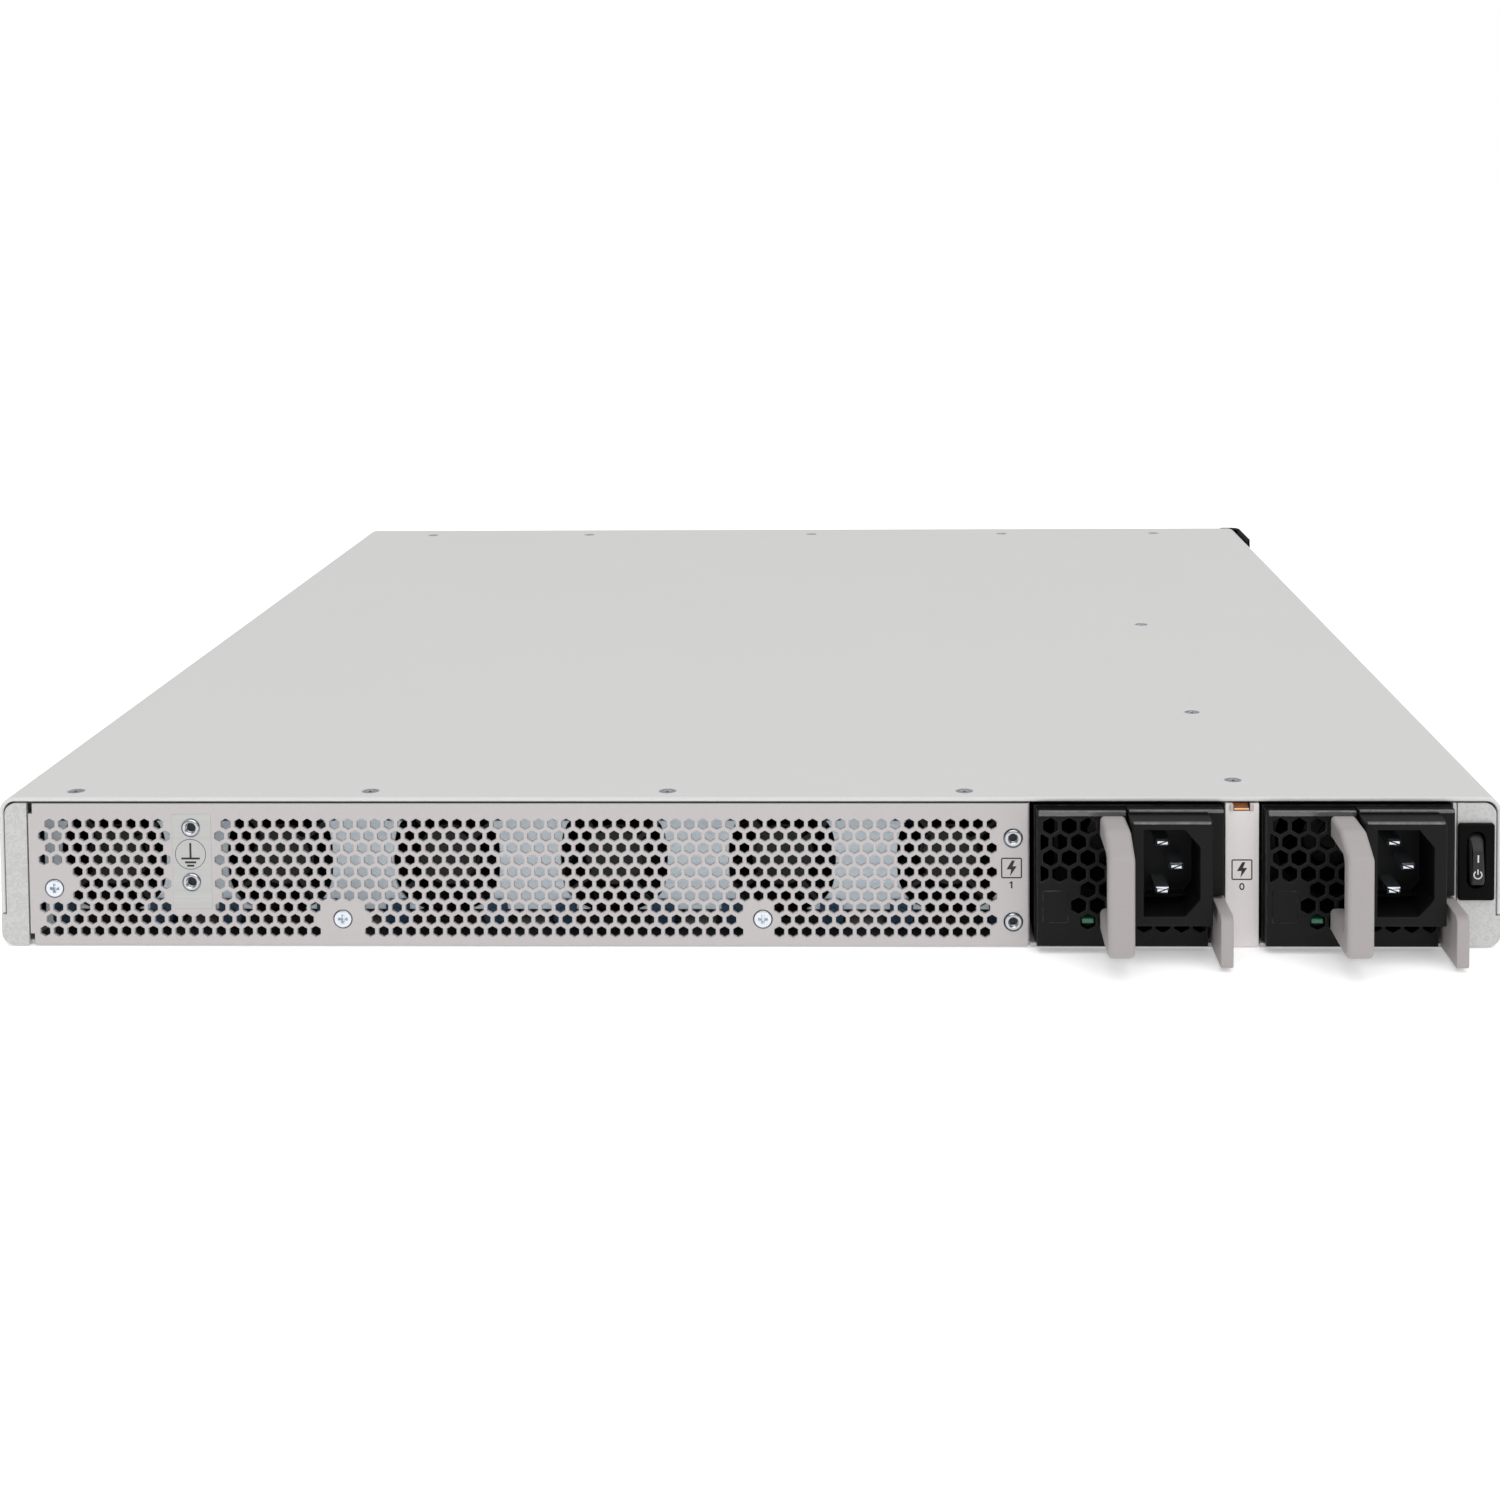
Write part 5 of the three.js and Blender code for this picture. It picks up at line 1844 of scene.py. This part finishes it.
@dataclass
class PortSide(Assembly):
    """The port side: panel with windows and vents, contacts, indicator windows and cage springs."""

    pitch: float = 13.97
    jack_high: float = 8.0
    blocks: tuple[tuple[str, int], ...] = (
        ("mgmt_ports", 1),
        ("port_block_left", 4),
        ("port_block_right", 4),
    )
    cages: tuple[tuple[str, int, float], ...] = (("sfp_cage", 2, 15.2), ("qsfp_cage", 1, 20.4))
    single: str = "usb_port"
    floors: Point2 = (12.2, 23.8)
    cage_floors: Point2 = (11.0, 24.0)
    cage_high: float = 9.0
    window_gap: float = 0.3 * MM
    vent_area: Span4 = (98 * MM, 200 * MM, 8 * MM, 37 * MM)
    vent_start: Point2 = (98.5 * MM, 35 * MM)
    lights: tuple[float, ...] = (-199.0, -194.5, 22.4, 37.6, 66.0, 74.0)
    light_level: float = 38.6 * MM
    wires: int = 8
    wire_pitch: float = 1.02
    wire_rise: float = 2.4
    wire_reach: Point2 = (4.0 * MM, 12.5 * MM)
    leaves: int = 4
    leaf_half: float = 0.9

    def build(self) -> None:
        """Builds the panel and what shows in its windows."""
        self.panel()
        for name, columns in self.blocks:
            self.contacts(name, columns)
            self.indicators(name, columns)
        for name, columns, pitch in self.cages:
            self.springs(name, columns, pitch)

    def window(self, name: str) -> list[Point2]:
        """Outline of the window round one block."""
        low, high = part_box(name)
        gap = self.window_gap
        return rounded_rect(low.x - gap, high.x + gap, low.z - gap, high.z + gap, 0.4 * MM)

    def panel(self) -> None:
        """Front panel with a window for each block, hexagonal vents and round light openings."""
        low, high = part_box("front_panel")
        names = [block[0] for block in self.blocks] + [cage[0] for cage in self.cages] + [self.single]
        holes = [self.window(name) for name in names]
        holes += honeycomb(self.vent_area, self.vent_start, 5.2 * MM, 4.5 * MM, 4.2 * MM, 0.98)
        holes += [circle(x * MM, self.light_level, 0.9 * MM, 16) for x in self.lights]
        outline = rounded_rect(low.x, high.x, low.z, high.z, 1.5 * MM)
        build = MeshBuilder()
        build.slab(outline, holes, Axis.Y, low.y, high.y, 0.0, 0.25 * MM, steps=2)
        self.keep(build.make("port_panel"), Body.CHASSIS, Slot.PANEL, replaces=["front_panel"])
        lamps = MeshBuilder()
        for x in self.lights:
            spot = circle(x * MM, self.light_level, 0.82 * MM, 16)
            lamps.slab(spot, [], Axis.Y, high.y - 1.4 * MM, high.y - 0.1 * MM, 0.0, 0.25 * MM)
        self.keep(lamps.make("port_lamps"), Body.CHASSIS, Slot.BLACK, "green_lens")

    def columns(self, name: str, count: int, pitch: float) -> list[float]:
        """Finds the middles of a block's columns.

        Args:
            name: the block.
            count: number of columns.
            pitch: distance between them in millimetres.

        Returns:
            Their places along X in millimetres.
        """
        low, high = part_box(name)
        middle = (low.x + high.x) / 2 / MM
        return [middle + (k - (count - 1) / 2) * pitch for k in range(count)]

    @staticmethod
    def sliver(build: MeshBuilder, side: list[Point2], middle: float, half: float) -> None:
        """Adds a thin strip of metal.

        Args:
            build: the builder to add to.
            side: its outline, seen along X.
            middle: its place along X in millimetres.
            half: half its width in millimetres.
        """
        if shape_area(side) < 0:
            side = side[::-1]
        build.slab(side, [], Axis.X, (middle - half) * MM, (middle + half) * MM)

    def contacts(self, name: str, columns: int) -> None:
        """Gold wires in each jack, which slant down from the roof or up from the floor.

        Args:
            name: the block of jacks.
            columns: number of jacks side by side.
        """
        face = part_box(name)[1].y
        near, back = (face - reach for reach in self.wire_reach)
        build = MeshBuilder()
        for x in self.columns(name, columns, self.pitch):
            for floor, way in zip(self.floors, (-1, 1)):
                base = (floor + 0.5 if way > 0 else floor + self.jack_high - 0.5) * MM
                tip = base + way * self.wire_rise * MM
                wire = [
                    (near, base), (near + 0.35 * MM, base + 0.35 * MM),
                    (back + 0.3 * MM, tip + 0.3 * MM), (back, tip),
                ]
                for k in range(self.wires):
                    self.sliver(build, wire, x + (k - (self.wires - 1) / 2) * self.wire_pitch, 0.2)
        self.keep(build.make(f"{name}_wires"), Body.CHASSIS, Slot.COPPER, "gold_contact")

    def indicators(self, name: str, columns: int) -> None:
        """A green and an amber window at the outer corners of each jack.

        Args:
            name: the block of jacks.
            columns: number of jacks side by side.
        """
        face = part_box(name)[1].y
        levels = (self.floors[0] - 2.4, self.floors[1] + self.jack_high + 2.4)
        for tone, side in (("green_lens", -1), ("amber_lens", 1)):
            build = MeshBuilder()
            for x in self.columns(name, columns, self.pitch):
                for z in levels:
                    u, v = (x + side * 4.3) * MM, z * MM
                    spot = rounded_rect(u - 1.4 * MM, u + 1.4 * MM, v - 0.6 * MM, v + 0.6 * MM, 0.25 * MM)
                    build.slab(spot, [], Axis.Y, face - 0.1 * MM, face + 0.15 * MM, 0.0, 0.1 * MM)
            self.keep(build.make(f"{name}_{tone}"), Body.CHASSIS, Slot.SOCKET, tone)

    def springs(self, name: str, columns: int, pitch: float) -> None:
        """Small earthing springs round each cage mouth.

        Args:
            name: the cage.
            columns: number of mouths side by side.
            pitch: distance between them in millimetres.
        """
        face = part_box(name)[1].y
        wide = 13.8 if columns > 1 else 19.0
        build = MeshBuilder()
        for x in self.columns(name, columns, pitch):
            for floor in self.cage_floors:
                for k in range(self.leaves):
                    u = x + (k - (self.leaves - 1) / 2) * wide / 4.6
                    for z, way in ((floor, 1), (floor + self.cage_high, -1)):
                        leaf = [
                            (face - 5 * MM, z * MM), (face + 0.4 * MM, z * MM),
                            (face + 0.4 * MM, (z + way * 0.25) * MM),
                            (face - 2.2 * MM, (z + way * 0.85) * MM),
                        ]
                        self.sliver(build, leaf, u, self.leaf_half)
        self.keep(build.make(f"{name}_springs"), Body.CHASSIS, Slot.SHIELD)


# ---------------------------------------------------------------- studio


@dataclass
class Studio:
    """White room: floor, sky, two soft lights and the camera."""

    eye: Point3 = (0.03957, -0.84982, 0.22869)
    lens: float = 51.56
    yaw: float = 1.303
    pitch: float = 2.849
    roll: float = -0.391
    shift: Point2 = (-0.052, -0.3187)

    def camera(self) -> None:
        """Camera level with a table top, a little above the cover."""
        data = bpy.data.cameras.new("camera")
        data.sensor_width = 36.0
        data.lens = self.lens
        data.shift_x, data.shift_y = self.shift
        data.clip_start, data.clip_end = 0.01, 50.0
        yaw, pitch, roll = (math.radians(v) for v in (self.yaw, self.pitch, self.roll))
        along = math.cos(pitch)
        ahead = Vector((-math.sin(yaw) * along, math.cos(yaw) * along, -math.sin(pitch)))
        level = ahead.cross(Vector((0, 0, 1))).normalized()
        above = level.cross(ahead)
        right = level * math.cos(roll) + above * math.sin(roll)
        up = above * math.cos(roll) - level * math.sin(roll)
        made = bpy.data.objects.new("camera", data)
        bpy.context.scene.collection.objects.link(made)
        turn = Matrix((right, up, -ahead)).transposed().to_4x4()
        made.matrix_world = Matrix.Translation(self.eye) @ turn
        bpy.context.scene.camera = made

    def build(self) -> None:
        """Adds the light and the floor."""
        scene = bpy.context.scene
        scene.view_settings.view_transform = "Standard"
        self.sky(scene)
        self.soft_sun("overhead", (0.1, -0.35, 1.0), 1.75, 75.0)
        self.panel_light("rear_fill", (0.3, -2.4, 1.3), (0.0, -0.2, 0.0), (2.4, 1.2), 10.5)
        self.floor()

    @staticmethod
    def sky(scene: bpy.types.Scene) -> None:
        """A white backdrop that lights the object less than it looks."""
        world = bpy.data.worlds.new("white_room")
        scene.world = world
        world.use_nodes = True
        nodes = Nodes(world.node_tree)
        world.node_tree.nodes.clear()
        seen = nodes.add("ShaderNodeLightPath").outputs["Is Camera Ray"]
        strength = nodes.span(seen, 0.0, 1.0, 0.5, 1.0)
        sky = nodes.add("ShaderNodeBackground", {"Color": (1.0, 1.0, 1.0, 1.0), "Strength": strength})
        nodes.add("ShaderNodeOutputWorld", {"Surface": sky.outputs[0]})

    @staticmethod
    def soft_sun(name: str, towards: Point3, strength: float, spread: float) -> None:
        """Adds an even light from one side of the sky.

        Args:
            name: name of the light.
            towards: direction of the middle of the light, seen from the object.
            strength: irradiance in watts per square metre.
            spread: angle across the light in degrees.
        """
        data = bpy.data.lights.new(name, "SUN")
        data.energy = strength
        data.angle = math.radians(spread)
        made = bpy.data.objects.new(name, data)
        bpy.context.scene.collection.objects.link(made)
        made.rotation_euler = Vector(towards).to_track_quat("Z", "Y").to_euler()

    @staticmethod
    def panel_light(name: str, place: Point3, target: Point3, size: Point2, power: float) -> None:
        """Adds one large soft light that faces a point.

        Args:
            name: name of the light.
            place: where it stands.
            target: the point that it faces.
            size: its width and height.
            power: its power in watts.
        """
        data = bpy.data.lights.new(name, "AREA")
        data.shape = "RECTANGLE"
        data.size, data.size_y = size
        data.energy = power
        made = bpy.data.objects.new(name, data)
        bpy.context.scene.collection.objects.link(made)
        made.location = place
        made.rotation_euler = (Vector(target) - Vector(place)).to_track_quat("-Z", "Y").to_euler()

    @staticmethod
    def floor() -> None:
        """A plain pale floor just under the object."""
        mesh = bpy.data.meshes.new("floor")
        half, level = 12.0, -0.0004
        corners = [(-half, -half, level), (half, -half, level), (half, half, level), (-half, half, level)]
        mesh.from_pydata(corners, [], [(0, 1, 2, 3)])
        floor = bpy.data.objects.new("floor", mesh)
        bpy.context.scene.collection.objects.link(floor)
        material = bpy.data.materials.new("pale_floor")
        material.use_nodes = True
        shader = material.node_tree.nodes["Principled BSDF"]
        shader.inputs["Base Color"].default_value = (0.93, 0.93, 0.93, 1.0)
        shader.inputs["Roughness"].default_value = 0.9
        shader.inputs["Specular IOR Level"].default_value = 0.1
        shader.inputs["Emission Color"].default_value = (1.0, 1.0, 1.0, 1.0)
        shader.inputs["Emission Strength"].default_value = 0.3
        mesh.materials.append(material)


def dress_cad_nodes(paint: Paintbox) -> None:
    """Gives every CAD node that still shows the finish of its slot."""
    for name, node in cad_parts.items():
        if node.hide_render or node.material_slots[0].material in paint.materials.values():
            continue
        for slot in node.material_slots:
            slot.material = paint.materials[slot.material.name.split(".")[0]]
        LOG.info("%s keeps its CAD shape", name)


def main() -> None:
    """Builds the studio, then the switch, sub-assembly by sub-assembly."""
    logging.basicConfig(level=logging.INFO, format="%(name)s: %(message)s")
    studio = Studio()
    studio.camera()
    studio.build()
    paint = Paintbox()
    Case(paint).build()
    FanRow(paint).build()
    for index in range(2):
        PowerSupply(paint, index).build()
    PowerRocker(paint).build()
    PortSide(paint).build()
    dress_cad_nodes(paint)


if __name__ == "__main__":
    main()
